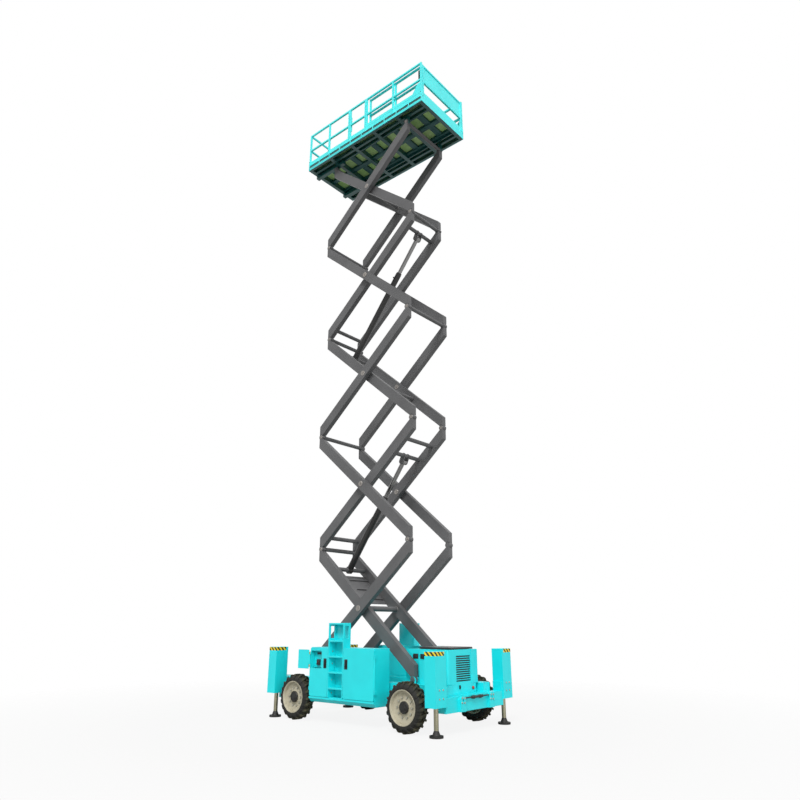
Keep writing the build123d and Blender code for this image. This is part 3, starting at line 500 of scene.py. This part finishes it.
# Plates end this far inside one another, so that no two faces share a plane.
tuck = 0.001
between = (ladder_span[0] + 2 * tuck, ladder_span[1] - 2 * tuck)
within = (ladder_back + 2 * tuck, pod_face - tuck)
panels = [((ladder_back, ladder_back + ladder_plate), (ladder_foot + 2 * tuck, ladder_top - 2 * tuck)),
          (within, (ladder_top - 2 * ladder_plate, ladder_top - tuck))]
panels += [(within, (top - step_thickness, top)) for top in step_tops]
cheek_rim = [(within[0], ladder_foot), (pod_face, ladder_foot), (pod_face, ladder_top),
             (within[0], ladder_top)]
hand_hole = [(0.962, 1.44), (1.066, 1.44), (1.066, 1.65), (0.962, 1.65)]
ladder_bolt_zs = (0.51, 0.73, 1.0, 1.21)
ladder_bolt_y = ladder_back + 0.09
ladder_bolt = (0.016, 0.009)
ladder_bolts = bmesh.new()
for side, hand in hands:
    ladder = bmesh.new()
    for x in (ladder_span[0], ladder_span[1] - ladder_cheek):
        rings = [[ladder.verts.new((x, side * y, z)) for y, z in ring] for ring in (cheek_rim, hand_hole)]
        cheek = banded(ladder, *rings)
        draw_out(ladder, bmesh.ops.extrude_face_region(ladder, geom=cheek, use_keep_orig=True),
                 (ladder_cheek, 0, 0))
    for outs, zs in panels:
        side_block(ladder, side, between, outs, zs, plate_edge)
    made = new_piece(f"step_ladder_{hand}", ladder, turquoise_enamel, "chassis")
    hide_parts(f"ladder_{hand}")
    for x, way in ((ladder_span[0] + ladder_cheek, 1), (ladder_span[1] - ladder_cheek, -1)):
        for z in ladder_bolt_zs:
            hex_head(ladder_bolts, (x, side * ladder_bolt_y, z), (way, 0, 0), *ladder_bolt)
new_piece("ladder_bolts", ladder_bolts, zinc_plate, "chassis")


# Ground controls: a grey switch box with a red stop button in a niche of the rear cabinet, and a lowering
# lever, all of moulded plastic and screwed to the back of the niche.
# The flap in front of them stands open on two yellow-passivated steel hinges.
switch_grey = moulded_plastic("switch_box_plastic", "#3a3f41", "#2f3436", 0.4, 0.0025)
switch_red = moulded_plastic("faded_red_plastic", "#4a1614", "#3e1210", 0.35, 0.003)
niche_back = -1.01
lever_plate = ((-0.66, niche_back - 0.012, 1.15), (-0.495, niche_back, 1.185))
lever_foot = Vector((-0.52, niche_back, 1.165))
lever_boss = [(0, 0), (0.016, 0), (0.016, 0.02), (0.008, 0.026), (0.008, 0.036), (0, 0.036)]
lever_out = 0.03
lever_way = (0.1, 0, -1)
lever_grip = [(0, -0.008), (0.007, -0.008), (0.007, 0.062), (0.013, 0.07), (0.015, 0.082), (0.011, 0.094),
              (0, 0.098)]
lever = bmesh.new()
rounded_block(lever, *lever_plate, plate_edge)
turned(lever, lever_foot, (0, -1, 0), lever_boss)
turned(lever, lever_foot - Vector((0, lever_out, 0)), lever_way, lever_grip)
new_piece("lowering_lever", lever, black_plastic, "chassis")
switch_corners = ((-0.6525, niche_back - 0.03, 0.965), (-0.5725, niche_back, 1.065))
box_edge = 0.004
toggle_xs = (-0.64, -0.585)
toggle_zs = (0.988, 1.042)
toggle_foot = niche_back - 0.029
toggle = [(0, 0), (0.008, 0), (0.008, 0.004), (0.004, 0.006), (0.004, 0.016), (0, 0.017)]
small_steps = 16
switch_box = bmesh.new()
rounded_block(switch_box, *switch_corners, box_edge)
for z in toggle_zs:
    for x in toggle_xs:
        turned(switch_box, (x, toggle_foot, z), (0, -1, 0), toggle, steps=small_steps)
new_piece("switch_box", switch_box, switch_grey, "chassis")
ground_stop_foot = (-0.6125, niche_back - 0.0295, 1.015)
ground_stop_profile = [(0, 0), (0.012, 0), (0.012, 0.008), (0.02, 0.01), (0.022, 0.016), (0.016, 0.022),
                       (0, 0.024)]
ground_stop = bmesh.new()
turned(ground_stop, ground_stop_foot, (0, -1, 0), ground_stop_profile)
new_piece("ground_stop_button", ground_stop, switch_red, "chassis")

yellow_zinc = plated_steel("yellow_passivated_zinc", "#d8c95a", "#b9a845", 0.35, 0.015)
flap_place = joint_place["control_flap_hinge"]
leaf_zs = (0.955, 1.175)
leaf_half_height = 0.018
leaf_reach = (-0.008, 0.018)
leaf_thickness = 0.002
thin_edge = 0.0008
leaf_screw_x = 0.011
leaf_screw_z = 0.01
leaf_screw = (0.006, 0.003)
lug_face = -1.125
leaf_face = lug_face - leaf_thickness
flap_hinges = bmesh.new()
for z in leaf_zs:
    rounded_block(flap_hinges, (flap_place.x + leaf_reach[0], leaf_face, z - leaf_half_height),
                  (flap_place.x + leaf_reach[1], lug_face, z + leaf_half_height), thin_edge)
    for offset in (-leaf_screw_z, leaf_screw_z):
        hex_head(flap_hinges, (flap_place.x + leaf_screw_x, leaf_face, z + offset), (0, -1, 0), *leaf_screw)
new_piece("flap_hinge_leaves", flap_hinges, yellow_zinc, "rear_door_right")


# Hood: folded turquoise sheet over the engine, with a black lid, a slatted grille and black vents.
# A folded cowl wraps its front corners, and a lamp and a latch are screwed on below the grille.
# A radiator with fine black fins stands right behind the grille, and louvres close the vents.
dress(turquoise_enamel, "hood")
dress(black_enamel, "hood_lid")
hood_front = 1.95
hood_side = 0.41
hood_corner = 0.06
cowl_rear = 1.34
cowl_side = 0.465
cowl_front = 1.955
cowl_inner_edge = 0.236
cowl_span = (0.712, 1.263)
corner_steps = 8


def round_corner(front, out):
    """The points round a corner of the hood, from its side to its front."""
    turns = [pi / 2 * step / corner_steps for step in range(corner_steps + 1)]
    return [(front - hood_corner + hood_corner * sin(turn), out - hood_corner + hood_corner * cos(turn))
            for turn in turns]


def slab(shape, points, way):
    """Add a flat plate: a face through the points, drawn out along a way."""
    base = shape.faces.new([shape.verts.new(point) for point in points])
    draw_out(shape, bmesh.ops.extrude_face_region(shape, geom=[base], use_keep_orig=True), way)


cowl_outline = [(cowl_rear, hood_side - 2 * tuck), (cowl_rear, cowl_side)]
cowl_outline += round_corner(cowl_front, cowl_side)
cowl_outline += [(cowl_front, cowl_inner_edge), (hood_front - tuck, cowl_inner_edge)]
cowl_outline += round_corner(hood_front - tuck, hood_side - tuck)[::-1]
cowl = bmesh.new()
for side in (-1, 1):
    slab(cowl, [(x, side * y, cowl_span[0]) for x, y in cowl_outline], (0, 0, cowl_span[1] - cowl_span[0]))
new_piece("hood_cowl", cowl, turquoise_enamel, "chassis")
lamp_glass = moulded_plastic("lamp_lens_acrylic", "#c63a16", "#8e2410", 0.15, 0.012)
lamp_foot = (hood_front - tuck, 0.27, 0.635)
lamp_profile = [(0, 0), (0.028, 0), (0.028, 0.016), (0.024, 0.022), (0.014, 0.025), (0, 0.026)]
lamp = bmesh.new()
turned(lamp, lamp_foot, (1, 0, 0), lamp_profile)
new_piece("front_lamp", lamp, lamp_glass, "chassis")
latch_base = ((hood_front - tuck, -0.142, 0.634), (hood_front + 0.012, -0.108, 0.696))
latch_paddle = ((hood_front + 0.008, -0.135, 0.65), (hood_front + 0.02, -0.115, 0.69))
hood_latch = bmesh.new()
rounded_block(hood_latch, *latch_base, plate_edge)
rounded_block(hood_latch, *latch_paddle, box_edge)
new_piece("hood_latch", hood_latch, black_plastic, "chassis")

grille_half_width = 0.215
grille_span = (0.74, 1.165)
hood_wall = 0.02
core_margin = 0.02
core_depth = 0.045
core_frame = 0.014
core_sink = 0.012
fin_pitch = 0.014
radiator_fins, tree, shader, place = new_material("radiator_fins")
fins_place = add_node(tree, "Mapping", {"Scale": (0, 1 / fin_pitch, 0)}, {"Vector": place})
fins = add_node(tree, "TexWave", {"Scale": 1 / pi, "bands_direction": "Y"}, {"Vector": fins_place})
fins_tone = add_node(tree, "Mix", {"data_type": "RGBA", 6: linear("#0d1214"), 7: linear("#2a3638")},
                     {"Factor": fins.outputs["Fac"]})
colour_and_gloss(tree, shader, fins_tone, fins.outputs["Fac"], 0.7, 0.45)
core_front = hood_front - hood_wall
core_half_width = grille_half_width + core_margin
radiator = bmesh.new()
faces = rounded_block(radiator, (core_front - core_depth, -core_half_width, grille_span[0] - core_margin),
                      (core_front, core_half_width, grille_span[1] + core_margin), plate_edge)
front = max(faces, key=lambda face: face.calc_center_median().x * face.calc_area())
bmesh.ops.inset_region(radiator, faces=[front], thickness=core_frame, depth=-core_sink)
new_piece("radiator_core", radiator, radiator_fins, "chassis")

vent_half = (0.0565, 0.04)
vent_z = 1.15
vent_places = ((1.22, hood_side), (1.428, cowl_side))
vent_reach = (-0.004, 0.01)
vent_edge = 0.002
vent_frame = 0.007
vent_sink = 0.01
louvre_count = 5
louvre_margin = 0.01
louvre_inset = 0.006
louvre_half = 0.002
louvre_reach = (-0.002, 0.009)
louvre_pitch = 2 * (vent_half[1] - louvre_margin) / louvre_count
louvres = bmesh.new()
for side in (-1, 1):
    for x, wall in vent_places:
        faces = side_block(louvres, side, about(x, vent_half[0]),
                           (wall + vent_reach[0], wall + vent_reach[1]), about(vent_z, vent_half[1]),
                           vent_edge)
        outer = max(faces, key=lambda face: side * face.calc_center_median().y * face.calc_area())
        bmesh.ops.inset_region(louvres, faces=[outer], thickness=vent_frame, depth=-vent_sink)
        for row in range(louvre_count):
            z = vent_z - vent_half[1] + louvre_margin + (row + 0.5) * louvre_pitch
            side_block(louvres, side, about(x, vent_half[0] - louvre_inset),
                       (wall + louvre_reach[0], wall + louvre_reach[1]), about(z, louvre_half), thin_edge)
new_piece("vent_louvres", louvres, black_plastic, "chassis")


# Scissor arms: rectangular steel tube, welded into frames and sprayed with charcoal satin enamel.
# Steel pins join them, each kept by a bolted cap on the outside of its joint.
# A ribbed tray of steel sheet is welded between the tubes of arm 1b, below its upper half.
stage_count = 5
stages = range(1, stage_count + 1)
charcoal_enamel = sprayed_paint("charcoal_enamel", "#5f5f60", "#565657", 0.45, "#5d5d5e", 0.4, coat=0.0)
dress(charcoal_enamel, *[f"arm_{stage}{arm}" for stage in stages for arm in "ab"])


def pin_cap(shape, x, z, face, side, radius):
    """Add the cap on a pin's end: a turned disc with a chamfered rim and one flat bolt."""
    chamfer = 0.003
    height = 0.006
    bolt = (0.03, 0.005)
    turned(shape, (x, side * face, z), (0, side, 0),
           [(0, 0), (radius, 0), (radius, height - chamfer), (radius - chamfer, height), (0, height)])
    hex_head(shape, (x, side * (face + height - tuck), z), (0, side, 0), *bolt)


pin_steel = plated_steel("pin_steel", "#a9a5a0", "#78736f", 0.4, 0.03)
inner_face = 0.5468
outer_face = 0.6728
back_face = -0.4368
hinge_cap = 0.036
centre_cap = 0.056
base_cap = 0.053
base_pin = joint_place["lift"]
rise = (joint_place["platform_hinge"].z - base_pin.z) / stage_count
centre_x = joint_place["pivot_1a"].x
rear_pin_x = 2 * centre_x - base_pin.x
for stage in stages:
    inner_arm, outer_arm = ("b", "a") if stage % 2 else ("a", "b")
    inner_x, outer_x = (rear_pin_x, base_pin.x) if stage % 2 else (base_pin.x, rear_pin_x)
    top_z = base_pin.z + stage * rise
    inner_caps = bmesh.new()
    outer_caps = bmesh.new()
    for side in (-1, 1):
        pin_cap(inner_caps, centre_x, top_z - rise / 2, outer_face, side, centre_cap)
        pin_cap(inner_caps, centre_x, top_z - rise / 2, back_face, -side, centre_cap)
        if stage < stage_count:
            pin_cap(inner_caps, inner_x, top_z, inner_face, side, hinge_cap)
            pin_cap(inner_caps, inner_x, top_z, back_face, -side, hinge_cap)
        pin_cap(outer_caps, outer_x, top_z, outer_face, side, hinge_cap)
    for arm, caps in ((inner_arm, inner_caps), (outer_arm, outer_caps)):
        new_piece(f"pin_caps_{stage}{arm}", caps, pin_steel, f"arm_{stage}{arm}")
slope = radians(40.78)
tray_centre = Vector((centre_x, 0, base_pin.z + rise / 2))
tray_reach = (-0.437, 0.437)
tray_span = (0.26, 1.12)
tray_depth = (-0.099, -0.087)
tray_edge = 0.002
tray_ribs = (0.4, 0.69, 0.98)
tray_rib_half = 0.02
tray_rib_depth = (-0.09, -0.06)
tray = bmesh.new()
side_block(tray, 1, tray_span, tray_reach, tray_depth, tray_edge)
for along in tray_ribs:
    side_block(tray, 1, about(along, tray_rib_half), tray_reach, tray_rib_depth, box_edge)
tilt = Matrix(((-cos(slope), 0, sin(slope), 0), (0, 1, 0, 0), (sin(slope), 0, cos(slope), 0), (0, 0, 0, 1)))
bmesh.ops.transform(tray, verts=tray.verts[:], matrix=Matrix.Translation(tray_centre) @ tilt)
new_piece("arm_tray", tray, charcoal_enamel, "arm_1b")
base_caps = bmesh.new()
for side in (-1, 1):
    pin_cap(base_caps, base_pin.x, base_pin.z, inner_face, side, base_cap)
new_piece("pin_caps_chassis", base_caps, charcoal_enamel, "chassis")


# Lift cylinders: honed steel barrels in black enamel, hard-chromed rods and a screwed gland at each mouth.
# The chrome is oily, so it is darker than polished metal, with fine marks along the stroke.
dress(black_enamel, "lower_cylinder_barrel", "upper_cylinder_barrel")
mark_width = 0.004
mark_run = 0.25
hard_chrome, tree, shader, place = new_material("hard_chrome")
marks = add_node(tree, "Mapping", {"Scale": (1 / mark_run, 1 / mark_width, 1 / mark_run)}, {"Vector": place})
streaks = add_node(tree, "TexNoise", {"Scale": 1.0, "Detail": 3.0}, {"Vector": marks})
chrome_tone = add_node(tree, "Mix", {"data_type": "RGBA", 6: linear("#8e8e8d"), 7: linear("#6f6f6e")},
                       {"Factor": streaks})
colour_and_gloss(tree, shader, chrome_tone, streaks, 0.12, 0.3)
shader.inputs["Metallic"].default_value = 1.0
dress(hard_chrome, "lower_cylinder_rod", "upper_cylinder_rod")

slide_way = {joint["name"]: Vector(joint["axis"]) for joint in frame["joints"] if joint["type"] == "slide"}
barrel_lengths = {"lower": 1.7, "upper": 2.2}
gland_bore = 0.0462
gland = [(gland_bore, 0), (0.06, 0), (0.06, 0.028), (0.056, 0.032), (gland_bore, 0.032), (gland_bore, 0)]
port = [(0, 0), (0.02, 0), (0.02, 0.03), (0.014, 0.034), (0.014, 0.05), (0, 0.05)]
port_step = 0.12
port_foot = 0.0585
for end, length in barrel_lengths.items():
    way = slide_way[f"{end}_rod_slide"]
    mouth = joint_place[f"{end}_barrel_hinge"] + way * length
    mouth_piece = bmesh.new()
    turned(mouth_piece, mouth, way, gland)
    turned(mouth_piece, mouth - way * port_step + Vector((0, -port_foot, 0)), (0, -1, 0), port)
    new_piece(f"{end}_gland", mouth_piece, black_enamel, f"{end}_barrel")


# Platform: an edge frame of deep channel, rails of square tube and a sheet-steel panel, in turquoise enamel.
# Its turquoise is painted lighter than the chassis's as painted light: the same paint, drawn as it looks in
# brighter light.
# The pockets of the channel and the beams below it are painted dark teal: painted shade, for the shade that
# falls in them.
# The platform's turquoise is a lit copy of the chassis enamel, painted lighter for the brighter light on the
# platform.
lit_platform_paint = ("#4efefe", "#45f6f8", 0.36, "#4efefe", 0.4)
lit_platform_enamel = sprayed_paint("lit_platform_enamel", *lit_platform_paint)
dress(lit_platform_enamel, "main_rails", "gate", "extension_rails")
deck_low, deck_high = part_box("deck_frame")
deck_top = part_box("deck_plate")[1].z
deck_middle = (deck_low.x + deck_high.x) / 2
deck_half = (deck_high.x - deck_low.x) / 2
edge_face = 0.815
pocket_span = (12.926, 12.998)
pocket_middle = sum(pocket_span) / 2
pocket_half = (pocket_span[1] - pocket_span[0]) / 2
channel_enamel_painted_light_and_shade = sprayed_paint("channel_enamel_painted_light_and_shade", *lit_platform_paint)
tree = channel_enamel_painted_light_and_shade.node_tree
shader = tree.nodes["Principled BSDF"]
sprayed = shader.inputs["Base Color"].links[0].from_socket
place = add_node(tree, "TexCoord").outputs["Object"]
# Painted shade: the pocket band on the channel's outer face, and its inner and lower faces, are painted dark
# teal.
spot = add_node(tree, "SeparateXYZ", {}, {"Vector": place})
across = add_node(tree, "Math", {"operation": "ABSOLUTE"}, {0: spot.outputs["Y"]})
pocket_painted_shade = add_node(tree, "Math", {"operation": "COMPARE", 1: pocket_middle, 2: pocket_half},
                {0: spot.outputs["Z"]})
inboard = add_node(tree, "Math", {"operation": "LESS_THAN", 1: edge_face - tuck}, {0: across})
inside = add_node(tree, "Math", {"operation": "COMPARE", 1: deck_middle, 2: deck_half - 2 * tuck},
                  {0: spot.outputs["X"]})
underside_painted_shade = add_node(tree, "Math", {"operation": "MULTIPLY"}, {0: inboard, 1: inside})
outboard_pocket_shade = add_node(tree, "Math", {"operation": "SUBTRACT", "use_clamp": True}, {0: pocket_painted_shade, 1: inboard})
shaded = add_node(tree, "Math", {"operation": "MAXIMUM"}, {0: underside_painted_shade, 1: outboard_pocket_shade})
channel_painted_shade_tone = add_node(tree, "Mix", {"data_type": "RGBA", 7: linear("#12504d")},
                        {"Factor": shaded, 6: sprayed})
tree.links.new(channel_painted_shade_tone.outputs[2], shader.inputs["Base Color"])
dress(channel_enamel_painted_light_and_shade, "deck_frame")

# Deck: chequered steel plate in pale green enamel, laid on the beams, with a second plate that rolls out.
# Its raised lozenges, drawn coarser than the real 30 mm so that they show, are worn pale by boots.
lozenge_pitch = 0.05
deck_enamel = sprayed_paint("deck_enamel", "#c2e69a", "#aedb84", 0.5, "#c2e69a", 0.4, coat=0.0)
tree = deck_enamel.node_tree
shader = tree.nodes["Principled BSDF"]
sprayed = shader.inputs["Base Color"].links[0].from_socket
place = add_node(tree, "TexCoord").outputs["Object"]
lozenge_place = add_node(tree, "Mapping",
                         {"Rotation": (0, 0, pi / 4), "Scale": (1 / lozenge_pitch, 1 / lozenge_pitch, 0)},
                         {"Vector": place})
lozenges = add_node(tree, "TexVoronoi", {"Scale": 1.0, "Randomness": 0.0}, {"Vector": lozenge_place})
raised = add_node(tree, "MapRange", {"From Min": 0.3, "From Max": 0.2},
                  {"Value": lozenges.outputs["Distance"]})
bump = add_node(tree, "Bump", {"Strength": 0.7, "Distance": 0.002}, {"Height": raised})
tree.links.new(bump.outputs[0], shader.inputs["Normal"])
spot = add_node(tree, "SeparateXYZ", {}, {"Vector": place})
walked = add_node(tree, "Math", {"operation": "GREATER_THAN", 1: deck_top - tuck / 2}, {0: spot.outputs["Z"]})
tread = add_node(tree, "Mix", {"data_type": "RGBA", 6: linear("#6d7c62"), 7: linear("#93a08a")},
                 {"Factor": raised})
worn = add_node(tree, "Mix", {"data_type": "RGBA"}, {"Factor": walked, 6: sprayed, 7: tread.outputs[2]})
# The deck plate's front face takes the platform's turquoise, with its painted light.
front_edge = add_node(tree, "Math", {"operation": "GREATER_THAN", 1: deck_high.x - tuck},
                      {0: spot.outputs["X"]})
deck_tone = add_node(tree, "Mix", {"data_type": "RGBA", 7: linear(lit_platform_paint[0])},
                     {"Factor": front_edge, 6: worn.outputs[2]})
tree.links.new(deck_tone.outputs[2], shader.inputs["Base Color"])
dress(deck_enamel, "deck_plate", "extension_deck")

# Rail sockets: short steel sleeves welded to the channel, which the rail posts drop into.
# Each has a pin with a black plastic knob, pulled out to fold the rails down for transport.
channel_top = deck_high.z
rail_line = 0.795
post_xs = {-1: (-1.897, -1.1935, 0.9675, 1.819), 1: (-1.897, -0.039, 1.819)}
sleeve_half = 0.025
sleeve_span = (channel_top, channel_top + 0.15)
rail_pin_z = channel_top + 0.11
rail_pin_foot = rail_line + sleeve_half - 2 * tuck
rail_pin = [(0, 0), (0.009, 0), (0.009, 0.012), (0, 0.014)]
sleeves = bmesh.new()
pins = bmesh.new()
for side, xs in post_xs.items():
    for x in xs:
        side_block(sleeves, side, about(x, sleeve_half), about(rail_line, sleeve_half), sleeve_span,
                   plate_edge)
        turned(pins, (x, side * rail_pin_foot, rail_pin_z), (0, side, 0), rail_pin)
new_piece("rail_sockets", sleeves, lit_platform_enamel, "platform")
new_piece("rail_pins", pins, black_plastic, "platform")

# Platform edge: a folded steel skirt, with a lip and ribs that frame a row of pockets along each side, their
# darkness painted shade on the channel behind.
# It is welded to the channel, and its lip stays below the gate.
# Above it, a low panel of steel sheet closes the front part of each side, and rises to a gusset at its post.
skirt_reach = (edge_face, 0.823)
skirt_low = channel_top - 0.15
skirt_edge = 0.002
rib_half = 0.011
rib_count = 11
rib_pitch = (deck_high.x - deck_low.x - 2 * rib_half) / (rib_count - 1)
rib_lap = 0.004
rib_span = (pocket_span[0] - rib_lap, pocket_span[1] + rib_lap)
skirt = bmesh.new()
for side in (-1, 1):
    for zs in ((skirt_low, pocket_span[0]), (pocket_span[1], channel_top)):
        side_block(skirt, side, (deck_low.x, deck_high.x), skirt_reach, zs, skirt_edge)
    for place in range(rib_count):
        x = deck_low.x + rib_half + place * rib_pitch
        side_block(skirt, side, about(x, rib_half), skirt_reach, rib_span, skirt_edge)
new_piece("platform_skirt", skirt, lit_platform_enamel, "platform")
panel_low = channel_top + 0.12
panel_top = channel_top + 0.2
panel_rear = 0.13
panel_front = 1.803
gusset_top = channel_top + 0.42
gusset_xs = (1.72, 1.56)
panel_inner = 0.796
panel_outer = edge_face - 0.012
panel_outline = [(panel_rear, panel_low), (panel_front, panel_low), (panel_front, gusset_top),
                 (gusset_xs[0], gusset_top), (gusset_xs[1], panel_top), (panel_rear, panel_top)]
side_panels = bmesh.new()
for side in (-1, 1):
    slab(side_panels, [(x, side * panel_inner, z) for x, z in panel_outline],
         (0, side * (panel_outer - panel_inner), 0))
new_piece("side_panels", side_panels, lit_platform_enamel, "platform")

# Deck stiffeners: folded channels welded under the deck plate between its beams, in the beams' dark teal.
# That dark teal is painted shade, for the shade under the deck.
beam_painted_shade_enamel = sprayed_paint("beam_painted_shade_enamel", "#12504d", "#0f4644", 0.5, "#12504d", 0.4, coat=0.0)
plate_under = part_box("deck_plate")[0].z
stiffener_low = plate_under - 0.075
stiffener_edge = 0.004
cross_low = stiffener_low + 0.02
cross_half = 0.075
cross_reach = (-0.476, 0.476)
cross_count = 5
cross_pitch = 0.7332
first_cross = deck_low.x + 0.045 + cross_pitch / 2
long_places = ((-0.44, 0.036), (0, 0.06), (0.44, 0.036))
long_margin = 0.005
long_span = (deck_low.x + long_margin, deck_high.x - long_margin)
stiffeners = bmesh.new()
for place in range(cross_count):
    x = first_cross + place * cross_pitch
    side_block(stiffeners, 1, about(x, cross_half), cross_reach, (cross_low, plate_under), stiffener_edge)
for y, half in long_places:
    side_block(stiffeners, 1, long_span, about(y, half), (stiffener_low, plate_under), stiffener_edge)
new_piece("deck_stiffeners", stiffeners, beam_painted_shade_enamel, "platform")

# Platform controls: a black moulded box hung on the front rail, with a joystick, a stop button and switches.
# The joystick stands in a ribbed rubber boot, and all of them are screwed into the top of the box.
dress(black_plastic, "control_box")
box_low, box_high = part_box("control_box")
stick_foot = Vector((box_low.x + 0.09, (box_low.y + box_high.y) / 2 - 0.075, box_high.z))
stick_profile = [(0, 0), (0.034, 0), (0.034, 0.006), (0.028, 0.01), (0.029, 0.016), (0.021, 0.021),
                 (0.022, 0.027), (0.012, 0.034), (0.009, 0.05), (0.013, 0.056), (0.018, 0.07),
                 (0.016, 0.088), (0, 0.094)]
switch_row = Vector((0.045, 0.055, 0))
switch_pitch = 0.035
switch_count = 4
switch_profile = [(0, 0), (0.01, 0), (0.01, 0.006), (0.004, 0.009), (0.005, 0.026), (0, 0.029)]
joystick = bmesh.new()
turned(joystick, stick_foot, (0, 0, 1), stick_profile)
for step in range(switch_count):
    turned(joystick, stick_foot + switch_row + Vector((0, switch_pitch * step, 0)), (0, 0, 1), switch_profile,
           steps=small_steps)
new_piece("platform_joystick", joystick, black_plastic, "extension")
signal_red = moulded_plastic("signal_red_plastic", "#b3201c", "#9c1a17", 0.3, 0.004)
stop_offset = Vector((-0.01, 0.14, 0))
stop_profile = [(0, 0), (0.014, 0), (0.014, 0.014), (0.022, 0.016), (0.024, 0.024), (0.018, 0.032),
                (0, 0.034)]
stop_button = bmesh.new()
turned(stop_button, stick_foot + stop_offset, (0, 0, 1), stop_profile)
new_piece("platform_stop_button", stop_button, signal_red, "extension")

# Gate latch: a spring bolt in a black moulded housing, bolted to the gate's free post.
# It drops behind the fixed post when the gate swings shut.
gate_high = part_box("gate")[1]
latch_xs = (gate_high.x - 0.036, gate_high.x - 0.004)
latch_reach = (rail_line + 0.006, rail_line - 0.034)
latch_low = gate_high.z - 0.28
latch_height = 0.11
latch_edge = 0.005
latch = bmesh.new()
side_block(latch, -1, latch_xs, latch_reach, (latch_low, latch_low + latch_height), latch_edge)
new_piece("gate_latch", latch, black_plastic, "gate")


# Stage: a pale floor that fades into a white surround, two soft daylight lamps, and the camera.
# The floor is lit and shadowed, but drawn nearly white for the camera, as in the photo.
scene = bpy.context.scene
floor_half = 60
floor_fade_span = (4.0, 11.0)
floor_paleness = 0.88
floor_mesh = bpy.data.meshes.new("floor")
floor_shape = bmesh.new()
bmesh.ops.create_grid(floor_shape, x_segments=1, y_segments=1, size=floor_half)
floor_shape.to_mesh(floor_mesh)
floor_shape.free()
floor = bpy.data.objects.new("floor", floor_mesh)
scene.collection.objects.link(floor)
floor_paint, tree, shader, place = new_material("studio_floor")
shader.inputs["Base Color"].default_value = linear("#b9b9b7")
for name, value in (("Roughness", 0.9), ("Specular IOR Level", 0.1)):
    shader.inputs[name].default_value = value
floor_reach = add_node(tree, "VectorMath", {"operation": "LENGTH"}, {0: place})
floor_fade = add_node(tree, "MapRange", {"From Min": floor_fade_span[0], "From Max": floor_fade_span[1]},
                      {"Value": floor_reach.outputs["Value"]})
clear = add_node(tree, "BsdfTransparent")
floor_white = add_node(tree, "Emission", {"Color": linear("#ffffff"), "Strength": 1.0})
rays = add_node(tree, "LightPath")
floor_share = add_node(tree, "Math", {"operation": "MULTIPLY", 1: floor_paleness},
                       {0: rays.outputs["Is Camera Ray"]})
floor_pale = add_node(tree, "MixShader", {}, {0: floor_share, 1: shader, 2: floor_white})
floor_mix = add_node(tree, "MixShader", {}, {0: floor_fade, 1: floor_pale, 2: clear})
tree.links.new(floor_mix.outputs[0], tree.nodes["Material Output"].inputs["Surface"])
floor_mesh.materials.append(floor_paint)

sky_light = 0.62
ground_light = 0.24
world = bpy.data.worlds.new("studio")
world.use_nodes = True
scene.world = world
tree = world.node_tree
sky = tree.nodes["Background"]
sky.inputs["Color"].default_value = linear("#f4f4f4")
sky_way = add_node(tree, "TexCoord").outputs["Generated"]
sky_height = add_node(tree, "SeparateXYZ", {}, {"Vector": sky_way}).outputs["Z"]
sky_level = add_node(tree, "MapRange",
                     {"From Min": -0.25, "From Max": 0.15, "To Min": ground_light, "To Max": sky_light},
                     {"Value": sky_height})
tree.links.new(sky_level.outputs[0], sky.inputs["Strength"])
surround = add_node(tree, "Background", {"Color": linear("#ffffff"), "Strength": 1.0})
rays = add_node(tree, "LightPath")
seen = add_node(tree, "Math", {"operation": "MAXIMUM"},
                {0: rays.outputs["Is Camera Ray"], 1: rays.outputs["Is Glossy Ray"]})
seen_all = add_node(tree, "Math", {"operation": "MAXIMUM"}, {0: seen, 1: rays.outputs["Is Transmission Ray"]})
sky_mix = add_node(tree, "MixShader", {}, {0: seen_all, 1: sky, 2: surround})
tree.links.new(sky_mix.outputs[0], tree.nodes["World Output"].inputs["Surface"])

lamps = (("key", (-0.35, 0.62, -0.75), 2.2, 20), ("side", (-0.85, 0.3, -0.25), 0.7, 40))
for name, way, strength, soft in lamps:
    lamp = bpy.data.lights.new(name, "SUN")
    lamp.energy = strength
    lamp.angle = radians(soft)
    holder = bpy.data.objects.new(name, lamp)
    holder.rotation_mode = "QUATERNION"
    holder.rotation_quaternion = Vector(way).to_track_quat("-Z", "Y")
    scene.collection.objects.link(holder)

camera_data = bpy.data.cameras.new("camera")
camera_data.sensor_width = 36
camera_data.lens = 29.145
camera = bpy.data.objects.new("camera", camera_data)
camera_eye = (8.953, -9.9754, 1.6652)
camera_right = Vector((0.7632, 0.6461, 0.0))
camera_up = Vector((0.2122, -0.2506, 0.9445))
camera_back = camera_right.cross(camera_up)
turn = Matrix((camera_right, camera_up, camera_back)).transposed().to_4x4()
camera.matrix_world = Matrix.Translation(camera_eye) @ turn
scene.collection.objects.link(camera)
scene.camera = camera
scene.view_settings.view_transform = "Standard"
